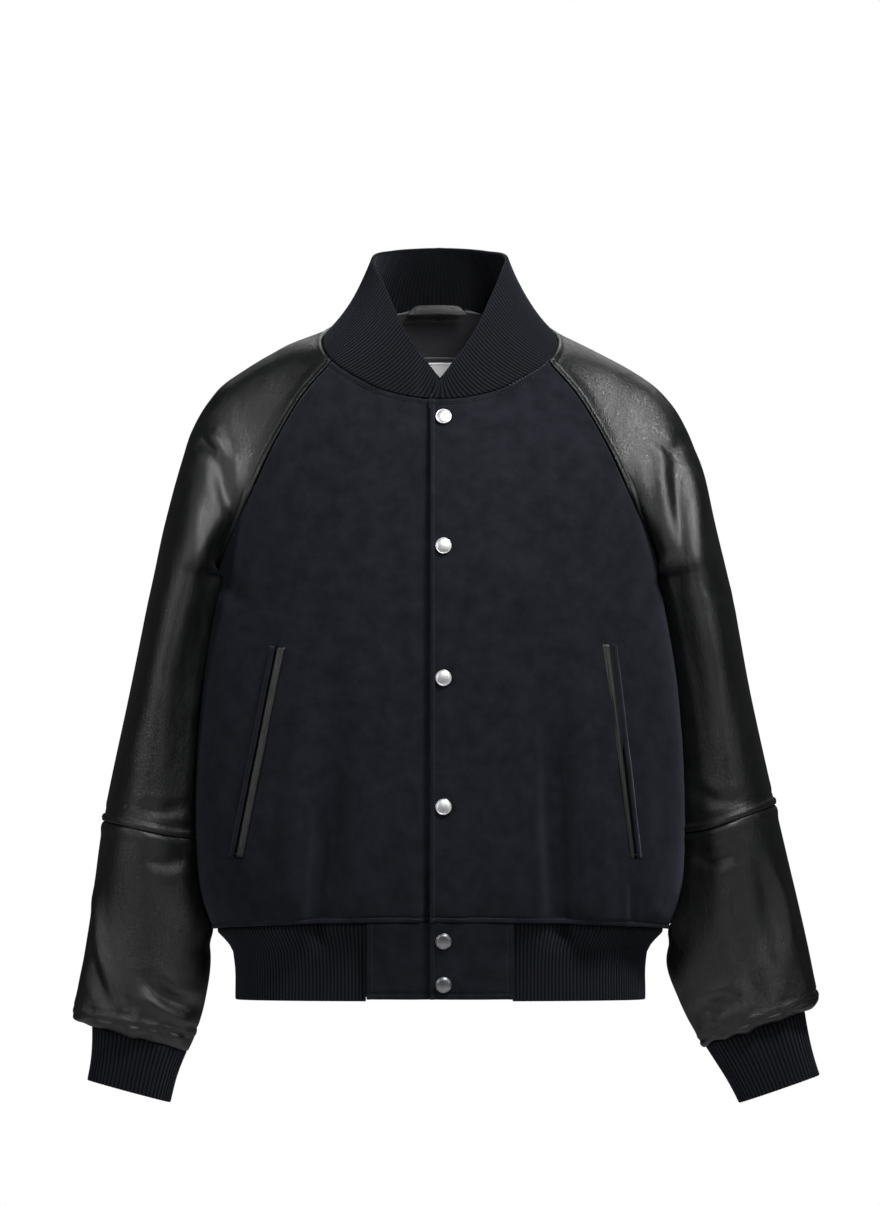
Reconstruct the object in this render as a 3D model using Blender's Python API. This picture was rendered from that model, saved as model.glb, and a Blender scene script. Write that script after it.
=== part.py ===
"""Varsity jacket: wool body, leather raglan sleeves, rib-knit collar, cuffs and hem.

Metres, +Z up, the front towards -Y and the wearer's left towards +X.  The origin is where the
shoulders carry the jacket: on the centre line, level with the neck ends of the shoulders.
Each cloth piece is a closed thin wall.  Its outer skin is a grid of points worked out from a
few body and sleeve curves, and its inner skin is that grid moved in by the cloth's thickness.
"""
import math

import bmesh
import bpy
import numpy as np
from mathutils import Vector

for old in list(bpy.data.objects):
    bpy.data.objects.remove(old, do_unlink=True)

# ---- driving dimensions ------------------------------------------------------------------
WOOL = 0.0025
LEATHER = 0.0018
KNIT = 0.0030
SATIN = 0.0010
SEAM_TRIM = 0.0003          # cut back from each side of a seam
LAID_ON = 0.0005            # clear space under a piece that lies on a panel

BODY_POWER = 2.3            # squareness of the body's level sections: 2 is an ellipse
BODY_Y = 0.005              # the sections' widest line, a little behind the origin
HEM_SIDE = -0.577           # height of the seam between the body and the hem rib, at the sides
HEM_FRONT = -0.569          # the same at centre front
HEM_END = -0.643            # lower edge of the jacket's body

# Half width and half depth of the body by height: smooth curves through these stations.
BODY_WIDTH = ((0.0215, 0.096), (0.0, 0.111), (-0.027, 0.132), (-0.060, 0.160), (-0.100, 0.182),
              (-0.150, 0.199), (-0.200, 0.211), (-0.235, 0.217), (-0.276, 0.224), (-0.329, 0.233),
              (-0.415, 0.240), (-0.500, 0.239), (-0.545, 0.233), (-0.565, 0.226), (-0.577, 0.219))
BODY_FRONT = ((0.0, 0.066), (-0.027, 0.078), (-0.064, 0.092), (-0.100, 0.108), (-0.150, 0.122),
              (-0.200, 0.130), (-0.330, 0.137), (-0.420, 0.139), (-0.520, 0.142), (-0.560, 0.139),
              (-0.577, 0.134))
BODY_BACK = ((0.0215, 0.072), (0.0, 0.086), (-0.030, 0.099), (-0.060, 0.108), (-0.100, 0.117),
             (-0.200, 0.124), (-0.350, 0.121), (-0.500, 0.127), (-0.560, 0.125), (-0.577, 0.121))
HEM_WIDTH = ((-0.569, 0.2180), (-0.577, 0.2160), (-0.587, 0.207), (-0.595, 0.201), (-0.605, 0.199),
             (-0.643, 0.198))
HEM_FRONT_DEPTH = ((-0.569, 0.1345), (-0.577, 0.1310), (-0.590, 0.1260), (-0.605, 0.1230),
                   (-0.643, 0.1210))
HEM_BACK_DEPTH = ((-0.569, 0.1185), (-0.577, 0.1170), (-0.590, 0.1120), (-0.605, 0.1090),
                  (-0.643, 0.1080))
TAB_FRONT_DEPTH = ((-0.569, 0.1368), (-0.590, 0.1328), (-0.643, 0.1250))
BODY = (BODY_WIDTH, BODY_FRONT, BODY_BACK)
HEM = (HEM_WIDTH, HEM_FRONT_DEPTH, HEM_BACK_DEPTH)
TAB = (HEM_WIDTH, TAB_FRONT_DEPTH, HEM_BACK_DEPTH)

NECK_FRONT = -0.0640        # height of the neckline at centre front, at the sides and at the back
NECK_SIDE = 0.0
NECK_BACK = 0.0215
ARMPIT = -0.235
ARM_RING = -0.222           # over-arm height level with the armpit
RAGLAN_FRONT = ((-0.027, 0.104), (-0.055, 0.129), (-0.100, 0.157), (-0.150, 0.181),
                (-0.196, 0.203), (ARMPIT, 0.217))
RAGLAN_BACK = ((0.014, 0.078), (-0.050, 0.118), (-0.100, 0.150), (-0.150, 0.178),
               (-0.200, 0.201), (ARMPIT, 0.217))
# Height on the over-arm line by the share of the way down the raglan seam.
OVER_ARM_HEIGHT = ((0.0, 0.0), (0.171, -0.021), (0.364, -0.050), (0.493, -0.079), (0.655, -0.123),
                   (0.858, -0.181), (1.0, ARM_RING))
SLEEVE_HALF_DEPTH = ((0.0, 0.084), (0.15, 0.085), (0.35, 0.081), (0.57, 0.071), (0.80, 0.053),
                     (1.0, 0.046))
SLEEVE_CENTRE_Y = ((0.0, 0.005), (0.35, 0.010), (0.65, 0.009), (1.0, 0.003))
CUFF_HALF_DEPTH = (0.037, 0.032)

# The left front closes over the right one along a straight edge.
CLOSING_EDGE = -0.010
UNDERLAP_END = 0.012
UNDERLAP_DIP = 0.0052
UNDERLAP_SLOPE = (0.016, 0.004)     # where the dip starts and is full, right of the closing edge
TAB_WIDTH = 0.071
SNAP_X = 0.0034
SNAP_HEIGHTS = (-0.082, -0.206, -0.333, -0.457, -0.586, -0.628)
SNAP_RADIUS = 0.0077
SNAP_LIFT = 0.0007
SNAP_PROFILE = ((0.94, 0.0), (1.0, 0.0008), (0.96, 0.0019), (0.72, 0.0029), (0.36, 0.0034))

# A front's drape fold: half widths of the trough and of the ridge beside it, how far apart they
# are, and the depths below the origin where the fold is full, starts to fade and has faded.
FOLD_TROUGH = 0.010
FOLD_RIDGE = 0.014
FOLD_APART = 0.026
FOLD_FULL = 0.500
FOLD_FADE = (0.577, 0.598)

# Collar: how far each column's turning point lies from its foot to its edge, level and upwards,
# at the front and at the back, and the angles where one becomes the other.
COLLAR_TURN_FRONT = (0.60, 0.36)
COLLAR_TURN_BACK = (0.32, 0.62)
COLLAR_TURN_CHANGE = (100.0, 160.0)
CUFF_SLACK = 0.0012         # how far a cuff's edge stays inside the leather's

# Small pieces
TRIM_THICKNESS = 0.0014     # pocket welts and hanger loop
WELT_WIDTH = 0.008
LABEL_THICKNESS = 0.0008
LABEL_ROWS = (1.2, 1.6, 2.0, 2.4)   # in rows of the back's grid
LABEL_HALF_COLUMNS = 1.6            # in columns of the back's grid
LOOP_ENDS = (-0.029, 0.023)
LOOP_EDGES = (0.0265, 0.0175)
LOOP_BOW = 0.0030
LOOP_Y = 0.0655
LOOP_CURVE = 2.0

# Per side: sign of X, the sleeve's outer and inner lines by height, where its leather ends, the
# elbow seam's share of the arm, and the cuff's top and bottom edges as outer and inner (x, z).
LEFT = dict(
    name="left", sign=1.0, elbow=0.557, end=(-0.642, -0.684),
    over=((0.0, 0.111), (-0.007, 0.128), (-0.021, 0.157), (-0.036, 0.185), (-0.050, 0.206),
          (-0.065, 0.221), (-0.094, 0.239), (-0.123, 0.2495), (-0.181, 0.265), (-0.239, 0.2795),
          (-0.355, 0.302), (-0.471, 0.328), (-0.587, 0.355), (-0.642, 0.3665)),
    under=((ARMPIT, 0.2175), (-0.276, 0.228), (-0.329, 0.2375), (-0.415, 0.2445), (-0.490, 0.2445),
           (-0.540, 0.2405), (-0.565, 0.2325), (-0.585, 0.2235), (-0.604, 0.2190),
           (-0.645, 0.2310), (-0.684, 0.2510)),
    cuff_top=((0.3538, -0.6550), (0.2554, -0.6890)),
    cuff_end=((0.3682, -0.7160), (0.2878, -0.7440)),
    fold=dict(x=0.112, lean=0.004, top=-0.335, depth=0.015, ridge=0.007),
    welt=((0.163, -0.300), (0.187, -0.507)))
RIGHT = dict(
    name="right", sign=-1.0, elbow=0.573, end=(-0.658, -0.680),
    over=((0.0, 0.111), (-0.007, 0.136), (-0.021, 0.165), (-0.036, 0.190), (-0.050, 0.210),
          (-0.065, 0.223), (-0.094, 0.240), (-0.123, 0.2495), (-0.181, 0.265), (-0.239, 0.278),
          (-0.355, 0.302), (-0.471, 0.326), (-0.587, 0.342), (-0.658, 0.355)),
    under=((ARMPIT, 0.2175), (-0.276, 0.228), (-0.329, 0.2375), (-0.415, 0.2445), (-0.480, 0.2445),
           (-0.530, 0.2395), (-0.555, 0.2335), (-0.575, 0.2260), (-0.592, 0.2225),
           (-0.645, 0.2270), (-0.680, 0.2370)),
    cuff_top=((0.3378, -0.6694), (0.2442, -0.6946)),
    cuff_end=((0.3420, -0.7210), (0.2600, -0.7430)),
    fold=dict(x=0.105, lean=0.010, top=-0.400, depth=0.013, ridge=0.006),
    welt=((0.156, -0.303), (0.196, -0.506)))
SIDES = (LEFT, RIGHT)

# ---- how finely the grids are cut ---------------------------------------------------------
RAGLAN_ROWS = 6
SIDE_ROWS = 8
FRONT_COLUMNS = (0.0, 0.08, 0.16, 0.215, 0.25, 0.28, 0.31, 0.35, 0.43, 0.54, 0.66, 0.78, 0.89, 1.0)
BACK_COLUMNS = 14
SLEEVE_COLUMNS = 6
UPPER_ARM_ROWS = 6
LOWER_ARM_ROWS = 5
COLLAR_ROWS = 5
HEM_ROW_SHARES = (0.0, 0.13, 0.27, 0.45, 1.0)
HEM_COLUMNS = 18
TAB_GRID = (3, 4)
CUFF_ROWS = 3
WELT_ROWS = 7
LOOP_COLUMNS = 8
SNAP_SIDES = 16


# ---- curves --------------------------------------------------------------------------------
def smooth(stations, at):
    """Smooth curve through (position, value) stations: cubic Hermite pieces whose slopes are
    the stations' own central differences."""
    table = np.array(sorted(stations))
    position, value = table[:, 0], table[:, 1:]
    slope = np.gradient(value, position, axis=0)
    at = np.clip(np.asarray(at, float), position[0], position[-1])
    i = np.clip(np.searchsorted(position, at) - 1, 0, len(position) - 2)
    span = (position[i + 1] - position[i])[..., None]
    t = (at - position[i])[..., None] / span
    curve = (value[i] * (2 * t ** 3 - 3 * t ** 2 + 1) + value[i + 1] * (3 * t ** 2 - 2 * t ** 3)
             + span * (slope[i] * (t ** 3 - 2 * t ** 2 + t) + slope[i + 1] * (t ** 3 - t ** 2)))
    return curve[..., 0] if curve.shape[-1] == 1 else curve


def ease(value, start, end):
    """0 before start, 1 after end, and a smooth step between."""
    t = np.clip((value - start) / (end - start), 0.0, 1.0)
    return t * t * (3 - 2 * t)


def bezier(a, b, c, d, t):
    """Cubic curve from a to d with the control points b and c, one row for each of them."""
    t = t[None, :, None]
    a, b, c, d = (p[:, None, :] for p in (a, b, c, d))
    return (a * (1 - t) ** 3 + 3 * b * t * (1 - t) ** 2 + 3 * c * t ** 2 * (1 - t) + d * t ** 3)


def unit(vectors):
    """The same vectors at length 1."""
    return vectors / np.linalg.norm(vectors, axis=-1, keepdims=True)


# ---- the body's surface ---------------------------------------------------------------------
def body_point(theta, z, section=BODY):
    """Points of a level superellipse: theta runs from 0 at centre front round to pi at centre
    back, and x = width sin^(2/n), y = depth cos^(2/n) with the signs kept."""
    width, front, back = (smooth(stations, z) for stations in section)
    s, c = np.sin(theta), np.cos(theta)
    power = 2.0 / BODY_POWER
    x = width * np.sign(s) * np.abs(s) ** power
    y = BODY_Y - np.where(c > 0, front, back) * np.sign(c) * np.abs(c) ** power
    return np.stack(np.broadcast_arrays(x, y, z), -1)


def body_angle(x, z, section=BODY):
    """Angle of the front surface's point that has this x at this height."""
    share = np.clip(np.abs(x) / smooth(section[0], z), 0.0, 1.0)
    return np.sign(x) * np.arcsin(share ** (BODY_POWER / 2.0))


# The neckline: its height by the angle round the neck, in degrees from centre front.  The
# raglan seams start on it.
NECK_TO_FRONT_SEAM = float(body_angle(RAGLAN_FRONT[0][1], RAGLAN_FRONT[0][0]))
NECK_TO_BACK_SEAM = math.pi - float(body_angle(RAGLAN_BACK[0][1], RAGLAN_BACK[0][0]))
NECK_HEIGHT = ((-16.3, -0.0563), (0.0, NECK_FRONT), (16.3, -0.0563), (28.8, -0.0444),
               (math.degrees(NECK_TO_FRONT_SEAM), RAGLAN_FRONT[0][0]), (90.0, NECK_SIDE),
               (math.degrees(NECK_TO_BACK_SEAM), RAGLAN_BACK[0][0]), (180.0, NECK_BACK),
               (360.0 - math.degrees(NECK_TO_BACK_SEAM), RAGLAN_BACK[0][0]))


def body_normal(theta, z):
    """Outward normal of the body, from small steps round it and up it."""
    step = 0.0005
    round_it = body_point(theta + step, z) - body_point(theta - step, z)
    up_it = body_point(theta, z + step) - body_point(theta, z - step)
    return unit(np.cross(round_it, up_it))


def neck_height(theta):
    """Height of the neckline at an angle from centre front, the same on both sides."""
    return smooth(NECK_HEIGHT, np.degrees(np.abs(theta)))


def rise_share(neck_theta):
    """How far the neckline has risen at an angle, from 0 at centre front to 1 at the raglan."""
    return (neck_height(neck_theta) - NECK_FRONT) / (RAGLAN_FRONT[0][0] - NECK_FRONT)


def hem_seam(theta):
    """Height of the seam over the hem: it drops outwards as the fronts' rows do."""
    share = np.clip(np.abs(theta) / (np.pi / 2), 0.0, 1.0)
    return HEM_FRONT + (HEM_SIDE - HEM_FRONT) * rise_share(share * NECK_TO_FRONT_SEAM)


def drape(side, points):
    """The front's long drape fold: a trough with a soft ridge on its outer side, deepening
    towards the hem and dying out in the top of the rib."""
    fold = side["fold"]
    x, z = side["sign"] * points[..., 0], points[..., 2]
    middle = fold["x"] + fold["lean"] * ease(-z, -fold["top"], -HEM_SIDE)
    reach = ease(-z, -fold["top"], FOLD_FULL) * (1 - ease(-z, *FOLD_FADE))
    trough = fold["depth"] * np.exp(-((x - middle) / FOLD_TROUGH) ** 2)
    ridge = fold["ridge"] * np.exp(-((x - middle - FOLD_APART) / FOLD_RIDGE) ** 2)
    moved = points.copy()
    moved[..., 1] += np.where(x > 0, (trough - ridge) * reach, 0.0)
    return moved


def underlap(points):
    """The right side dips under the left one near the closing edge, at the front only."""
    moved = points.copy()
    starts, full = UNDERLAP_SLOPE
    near = ease(points[..., 0], CLOSING_EDGE - starts, CLOSING_EDGE - full)
    moved[..., 1] += UNDERLAP_DIP * near * (points[..., 1] < 0)
    return moved


def seam_heights(neck_end):
    """Heights down a panel's side: the raglan rows, then the side-seam rows."""
    raglan = np.linspace(neck_end, ARMPIT, RAGLAN_ROWS + 1)
    seam = np.linspace(ARMPIT, HEM_SIDE, SIDE_ROWS + 1)
    return np.concatenate([raglan, seam[1:]])


def front_grid(side):
    """One front panel: rows from the neckline to the hem, columns from the closing edge to the
    raglan and side seams.  Each row rises outwards as the neckline does, less and less."""
    outer_z = seam_heights(RAGLAN_FRONT[0][0])[:, None]
    share = (outer_z - outer_z[0]) / (HEM_SIDE - outer_z[0])
    inner_z = NECK_FRONT + share * (HEM_FRONT - NECK_FRONT)
    outer_x = np.where(outer_z > ARMPIT, smooth(RAGLAN_FRONT, outer_z), 1.0)
    inner_x = CLOSING_EDGE if side is LEFT else -UNDERLAP_END
    columns = np.array(FRONT_COLUMNS)[None, :]
    theta_out = body_angle(outer_x, outer_z)
    theta_in = body_angle(inner_x, inner_z)
    neck_theta = theta_in[0] + (NECK_TO_FRONT_SEAM - theta_in[0]) * columns
    z = inner_z + (outer_z - inner_z) * rise_share(neck_theta)
    grid = body_point(theta_in + (theta_out - theta_in) * columns, z)
    grid[..., 0] *= side["sign"]
    grid = drape(side, grid)
    return grid if side is LEFT else underlap(grid)


def back_grid():
    """The back panel: columns from the right raglan and side seam to the left one."""
    outer_z = seam_heights(RAGLAN_BACK[0][0])[:, None]
    share = (outer_z - outer_z[0]) / (HEM_SIDE - outer_z[0])
    middle_z = NECK_BACK + share * (HEM_SIDE - NECK_BACK)
    outer_x = np.where(outer_z > ARMPIT, smooth(RAGLAN_BACK, outer_z), 1.0)
    theta_out = np.pi - body_angle(outer_x, outer_z)
    columns = np.linspace(-1.0, 1.0, BACK_COLUMNS + 1)[None, :]
    theta = np.pi + (theta_out - np.pi) * columns
    neck_theta = np.pi + (NECK_TO_BACK_SEAM - np.pi) * np.abs(columns)
    drop = (neck_height(neck_theta) - NECK_BACK) / (RAGLAN_BACK[0][0] - NECK_BACK)
    return body_point(theta, middle_z + (outer_z - middle_z) * drop)


# ---- sleeves --------------------------------------------------------------------------------
def raglan_seam(face, share):
    """Angle and point of the raglan seam at a share of the way from the neck to the armpit."""
    stations = RAGLAN_FRONT if face < 0 else RAGLAN_BACK
    z = stations[0][0] + (ARMPIT - stations[0][0]) * share
    theta = body_angle(smooth(stations, z), z)
    if face > 0:
        theta = np.pi - theta
    return theta, body_point(theta, z)


def shoulder_grid(side, face):
    """The sleeve's half above the armpit, on the left: each row leaves the raglan seam in the
    body's own tangent plane, more and more straight forwards (or back) towards the armpit, and
    crosses the over-arm line level.  Its first row is moved onto the neckline itself."""
    share = np.linspace(0.0, 1.0, RAGLAN_ROWS + 1)
    across = np.linspace(0.0, 1.0, SLEEVE_COLUMNS + 1)
    theta, seam = raglan_seam(face, share)
    over_z = smooth(OVER_ARM_HEIGHT, share)
    over = np.stack([smooth(side["over"], over_z), BODY_Y + 0.0 * share, over_z], -1)
    chord = over - seam
    length = np.linalg.norm(chord, axis=-1, keepdims=True)
    normal = body_normal(theta, seam[:, 2])
    along = unit(chord - normal * np.sum(chord * normal, -1, keepdims=True))
    tube = ease(share, 0.30, 1.0)[:, None]
    depth = (4.0 / 3.0) * SLEEVE_HALF_DEPTH[0][1]
    level = np.array([0.0, float(face), 0.0])
    forward = face * (seam - over)[:, 1:2]
    leave = along * length * 0.38 * (1 - tube) + level * (depth - forward) * tube
    arrive = level * (length * 0.45 * (1 - tube) + depth * tube)
    grid = bezier(seam, seam + leave, over + arrive, over, across)
    neck_theta = theta[0] + (np.pi / 2 - theta[0]) * across
    neckline = body_point(neck_theta, neck_height(neck_theta))
    return grid + (neckline - grid[0])[None] * ((1 - share) ** 3)[:, None, None]


def arm_rows(side, share):
    """Inner and outer line of the sleeve's tube at a share of the way down, as points."""
    outer_z = ARM_RING + (side["end"][0] - ARM_RING) * share
    inner_z = ARMPIT + (side["end"][1] - ARMPIT) * share
    y = smooth(SLEEVE_CENTRE_Y, share)
    inner = np.stack([smooth(side["under"], inner_z), y, inner_z], -1)
    outer = np.stack([smooth(side["over"], outer_z), y, outer_z], -1)
    return inner, outer


def half_tube(face, inner, outer, half_depth):
    """Half of a tube's rows: a cubic from the inner to the outer line that leaves both straight
    forwards or back, so that the two halves meet smoothly."""
    reach = np.zeros_like(inner)
    reach[:, 1] = face * np.asarray(half_depth) * 4.0 / 3.0
    return bezier(inner, inner + reach, outer + reach, outer, np.linspace(0, 1, SLEEVE_COLUMNS + 1))


def arm_grid(side, face, start, end, rows):
    """A stretch of the sleeve's tube."""
    share = np.linspace(start, end, rows + 1)
    inner, outer = arm_rows(side, share)
    return half_tube(face, inner, outer, smooth(SLEEVE_HALF_DEPTH, share))


def cuff_edge(edge, y):
    """Inner and outer end points of a cuff's edge as rows of one point."""
    (outer_x, outer_z), (inner_x, inner_z) = edge
    return np.array([[inner_x, y, inner_z]]), np.array([[outer_x, y, outer_z]])


def upper_sleeve(side, face):
    """From the neckline over the shoulder to the elbow seam."""
    arm = arm_grid(side, face, 0.0, side["elbow"], UPPER_ARM_ROWS)
    return np.concatenate([shoulder_grid(side, face), arm[1:]])


def lower_sleeve(side, face):
    """From the elbow seam to the cuff, turning in over the cuff's top at the end."""
    arm = arm_grid(side, face, side["elbow"], 1.0, LOWER_ARM_ROWS)
    inner, outer = cuff_edge(side["cuff_top"], SLEEVE_CENTRE_Y[-1][1])
    turn = half_tube(face, inner, outer, CUFF_HALF_DEPTH[0])
    return np.concatenate([arm, turn])


def cuff_grid(side):
    """The cuff as a closed tube of rows from its top to its lower edge."""
    y = SLEEVE_CENTRE_Y[-1][1]
    top_in, top_out = cuff_edge(side["cuff_top"], y)
    end_in, end_out = cuff_edge(side["cuff_end"], y)
    share = np.linspace(0.0, 1.0, CUFF_ROWS + 1)[:, None]
    inner, outer = top_in + (end_in - top_in) * share, top_out + (end_out - top_out) * share
    slack = unit(outer - inner) * CUFF_SLACK
    inner, outer = inner + slack, outer - slack
    depth = CUFF_HALF_DEPTH[0] - 0.001 + (CUFF_HALF_DEPTH[1] - CUFF_HALF_DEPTH[0]) * share[:, 0]
    front, back = (half_tube(face, inner, outer, depth) for face in (-1, 1))
    return np.concatenate([front[:, :-1], back[:, :0:-1]], axis=1)


# ---- collar, hem and the small pieces --------------------------------------------------------
# The collar's free edge by the angle round the neck, in degrees from centre front: (x, y, z).
COLLAR_EDGE = ((-4.0, -0.003, -0.0888, -0.0500), (0.0, 0.001, -0.0888, -0.0460),
               (14.0, 0.0155, -0.0870, -0.0270), (25.0, 0.027, -0.0820, -0.0120),
               (38.0, 0.039, -0.0720, 0.0080), (58.0, 0.051, -0.0520, 0.0340),
               (76.0, 0.062, -0.0270, 0.0600), (95.0, 0.066, 0.0, 0.0720),
               (135.0, 0.045, 0.0360, 0.0800), (180.0, 0.0, 0.0480, 0.0830),
               (225.0, -0.045, 0.0360, 0.0800))


def collar_half(side, theta):
    """The collar over one half of the neckline: each column is a curve from the neckline to the
    free edge that starts out along the shoulder and turns up, and is straighter at the back."""
    foot = body_point(theta, neck_height(theta) + LAID_ON)
    edge = smooth(COLLAR_EDGE, np.degrees(theta))
    straight = ease(np.degrees(theta), *COLLAR_TURN_CHANGE)[:, None]
    lean, rise = (front + (back - front) * straight
                  for front, back in zip(COLLAR_TURN_FRONT, COLLAR_TURN_BACK))
    turn = foot + (edge - foot) * np.concatenate([lean, lean, rise], axis=1)
    t = np.linspace(0.0, 1.0, COLLAR_ROWS + 1)[:, None, None]
    grid = foot * (1 - t) ** 2 + 2 * turn * t * (1 - t) + edge * t ** 2
    grid[..., 0] *= side["sign"]
    return grid


def collar_grid():
    """The whole collar, from the left end, which lies on top, round the back to the right end."""
    start = {"left": CLOSING_EDGE, "right": -UNDERLAP_END + 0.004}
    halves = []
    for side in SIDES:
        inner = float(body_angle(start[side["name"]], NECK_FRONT))
        theta = np.concatenate([
            inner + (NECK_TO_FRONT_SEAM - inner) * np.array(FRONT_COLUMNS)[:-1],
            np.linspace(NECK_TO_FRONT_SEAM, np.pi / 2, SLEEVE_COLUMNS + 1)[:-1],
            np.linspace(np.pi / 2, NECK_TO_BACK_SEAM, SLEEVE_COLUMNS + 1)[:-1],
            np.linspace(NECK_TO_BACK_SEAM, np.pi, BACK_COLUMNS // 2 + 1)])
        halves.append(collar_half(side, theta))
    right = underlap(halves[1])
    return np.concatenate([halves[0], right[:, -2::-1]], axis=1)


def hem_rib_grid():
    """The hem rib: an open band from one tab round the back to the other."""
    columns = np.linspace(0.0, 1.0, HEM_COLUMNS + 1)[None, :]
    share = np.array(HEM_ROW_SHARES)[:, None]
    halves = []
    for side in SIDES:
        z = HEM_FRONT + (HEM_END - HEM_FRONT) * share
        start = body_angle(TAB_WIDTH, z, HEM)
        theta = start + (np.pi - start) * columns ** 0.9
        top = hem_seam(theta)
        z = top + (HEM_END - top) * share
        grid = body_point(theta, z, HEM)
        grid[..., 0] *= side["sign"]
        halves.append(drape(side, grid))
    return np.concatenate([halves[0], halves[1][:, -2::-1]], axis=1)


def hem_tab_grid(side):
    """The wool end of the hem, from the closing edge to the rib."""
    share = np.linspace(0.0, 1.0, TAB_GRID[0] + 1)[:, None]
    columns = np.linspace(0.0, 1.0, TAB_GRID[1] + 1)[None, :]
    inner_x = CLOSING_EDGE if side is LEFT else -UNDERLAP_END
    x = inner_x + (TAB_WIDTH - inner_x) * columns
    top = hem_seam(body_angle(x, HEM_SIDE))
    z = top + (HEM_END - top) * share
    grid = body_point(body_angle(x, z, TAB), z, TAB)
    grid[..., 0] *= side["sign"]
    return grid if side is LEFT else underlap(grid)


def welt_grid(side):
    """A pocket's welt: a narrow slanted strip, made from the front's own surface."""
    (top_x, top_z), (end_x, end_z) = side["welt"]
    share = np.linspace(0.0, 1.0, WELT_ROWS + 1)[:, None]
    width = np.array([-WELT_WIDTH, 0.0])[None, :]
    z = top_z + (end_z - top_z) * share + 0.0 * width
    x = top_x + (end_x - top_x) * share + width
    grid = body_point(body_angle(x, z), z)
    grid[..., 0] *= side["sign"]
    return drape(side, grid)


def loop_grid():
    """The hanger loop: a short strap across the inside of the back neck, bowed off it."""
    x = np.linspace(*LOOP_ENDS, LOOP_COLUMNS + 1)[None, :]
    z = np.array(LOOP_EDGES)[:, None]
    bow = LOOP_BOW * np.sin(np.pi * (x - x[0, 0]) / (x[0, -1] - x[0, 0]))
    y = LOOP_Y - LOOP_CURVE * x ** 2 - bow
    return np.stack(np.broadcast_arrays(x, y, z), -1)


def slope_along(grid, axis):
    """How a grid's points change along rows or columns, by the mean distance between them.  Its
    ends take curved differences, so that two pieces' walls stand alike along their seam."""
    steps = np.linalg.norm(np.diff(grid, axis=axis), axis=-1).mean(axis=1 - axis)
    place = np.concatenate([[0.0], np.cumsum(steps)])
    return np.gradient(grid, place, axis=axis, edge_order=min(2, len(steps)))


def normals(grid, inside, wrap=False):
    """Unit normals of a grid from its two slopes, pointing away from inside."""
    down = slope_along(grid, 0)
    across = slope_along(grid, 1)
    if wrap:
        across = np.roll(grid, -1, 1) - np.roll(grid, 1, 1)
    normal = unit(np.cross(down, across))
    return normal * np.sign(np.sum(normal * (grid - inside)))


def body_axis(grid):
    """Points on the body's upright middle line, level with the grid's."""
    axis = grid.copy()
    axis[..., 0], axis[..., 1] = 0.0, BODY_Y
    return axis


def sleeve_axis(grid):
    """The middle between a half sleeve's two long edges, for each row."""
    return (grid[:, :1] + grid[:, -1:]) / 2.0


def patch(grid, rows, columns):
    """Part of a grid read off between its points, at fractional row and column numbers."""
    i = np.clip(np.floor(rows).astype(int), 0, grid.shape[0] - 2)[:, None]
    j = np.clip(np.floor(columns).astype(int), 0, grid.shape[1] - 2)[None, :]
    a, b = (rows[:, None] - i)[..., None], (columns[None, :] - j)[..., None]
    top = grid[i, j] * (1 - b) + grid[i, j + 1] * b
    low = grid[i + 1, j] * (1 - b) + grid[i + 1, j + 1] * b
    return top * (1 - a) + low * a


def sunk(grid, depth):
    """A body grid moved in by a depth along its normals."""
    return grid - normals(grid, body_axis(grid)) * depth


def trimmed(grid, wrap=False):
    """The grid with its edges drawn in by the seam trim."""
    cut = grid.copy()
    cut[0] += unit(grid[1] - grid[0]) * SEAM_TRIM
    cut[-1] += unit(grid[-2] - grid[-1]) * SEAM_TRIM
    if not wrap:
        cut[:, 0] += unit(cut[:, 1] - cut[:, 0]) * SEAM_TRIM
        cut[:, -1] += unit(cut[:, -2] - cut[:, -1]) * SEAM_TRIM
    return cut


# ---- objects ---------------------------------------------------------------------------------
def material(name, colour, roughness, metallic=0.0):
    """A plain Principled material."""
    made = bpy.data.materials.new(name)
    made.use_nodes = True
    shader = made.node_tree.nodes["Principled BSDF"]
    shader.inputs["Base Color"].default_value = (*colour, 1.0)
    shader.inputs["Roughness"].default_value = roughness
    shader.inputs["Metallic"].default_value = metallic
    return made


MATERIALS = dict(
    wool=material("wool", (0.011, 0.012, 0.019), 0.95),
    leather=material("leather", (0.012, 0.013, 0.013), 0.42),
    rib=material("rib", (0.009, 0.010, 0.016), 0.90),
    satin=material("satin", (0.016, 0.016, 0.020), 0.45),
    label=material("label", (0.40, 0.40, 0.40), 0.80),
    snap=material("snap", (0.60, 0.60, 0.62), 0.25, 1.0),
    snap_dark=material("snap_dark", (0.30, 0.30, 0.32), 0.35, 1.0))


def add_object(name, mesh, finish):
    """Link a mesh as an object with one material and smooth shading."""
    mesh.materials.append(MATERIALS[finish])
    mesh.shade_smooth()
    mesh.set_sharp_from_angle(angle=math.radians(40))
    made = bpy.data.objects.new(name, mesh)
    bpy.context.scene.collection.objects.link(made)
    return made


def grid_faces(rows, columns, wrap):
    """Triangles of a grid whose points are numbered row by row, all cut along one diagonal, so
    that a piece and what lies on it bend along the same lines."""
    i, j = np.meshgrid(np.arange(rows - 1), np.arange(columns if wrap else columns - 1),
                       indexing="ij")
    right = (j + 1) % columns
    corners = [i * columns + j, (i + 1) * columns + j, (i + 1) * columns + right,
               i * columns + right]
    a, b, c, d = (corner.ravel() for corner in corners)
    return np.concatenate([np.stack([a, b, c], -1), np.stack([a, c, d], -1)])


def edge_faces(ring, shift):
    """Triangles that join a row of outer points to the inner points under them."""
    a, b = ring[:-1], ring[1:]
    return np.concatenate([np.stack([a, b, b + shift], -1),
                           np.stack([a, b + shift, a + shift], -1)])


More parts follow.
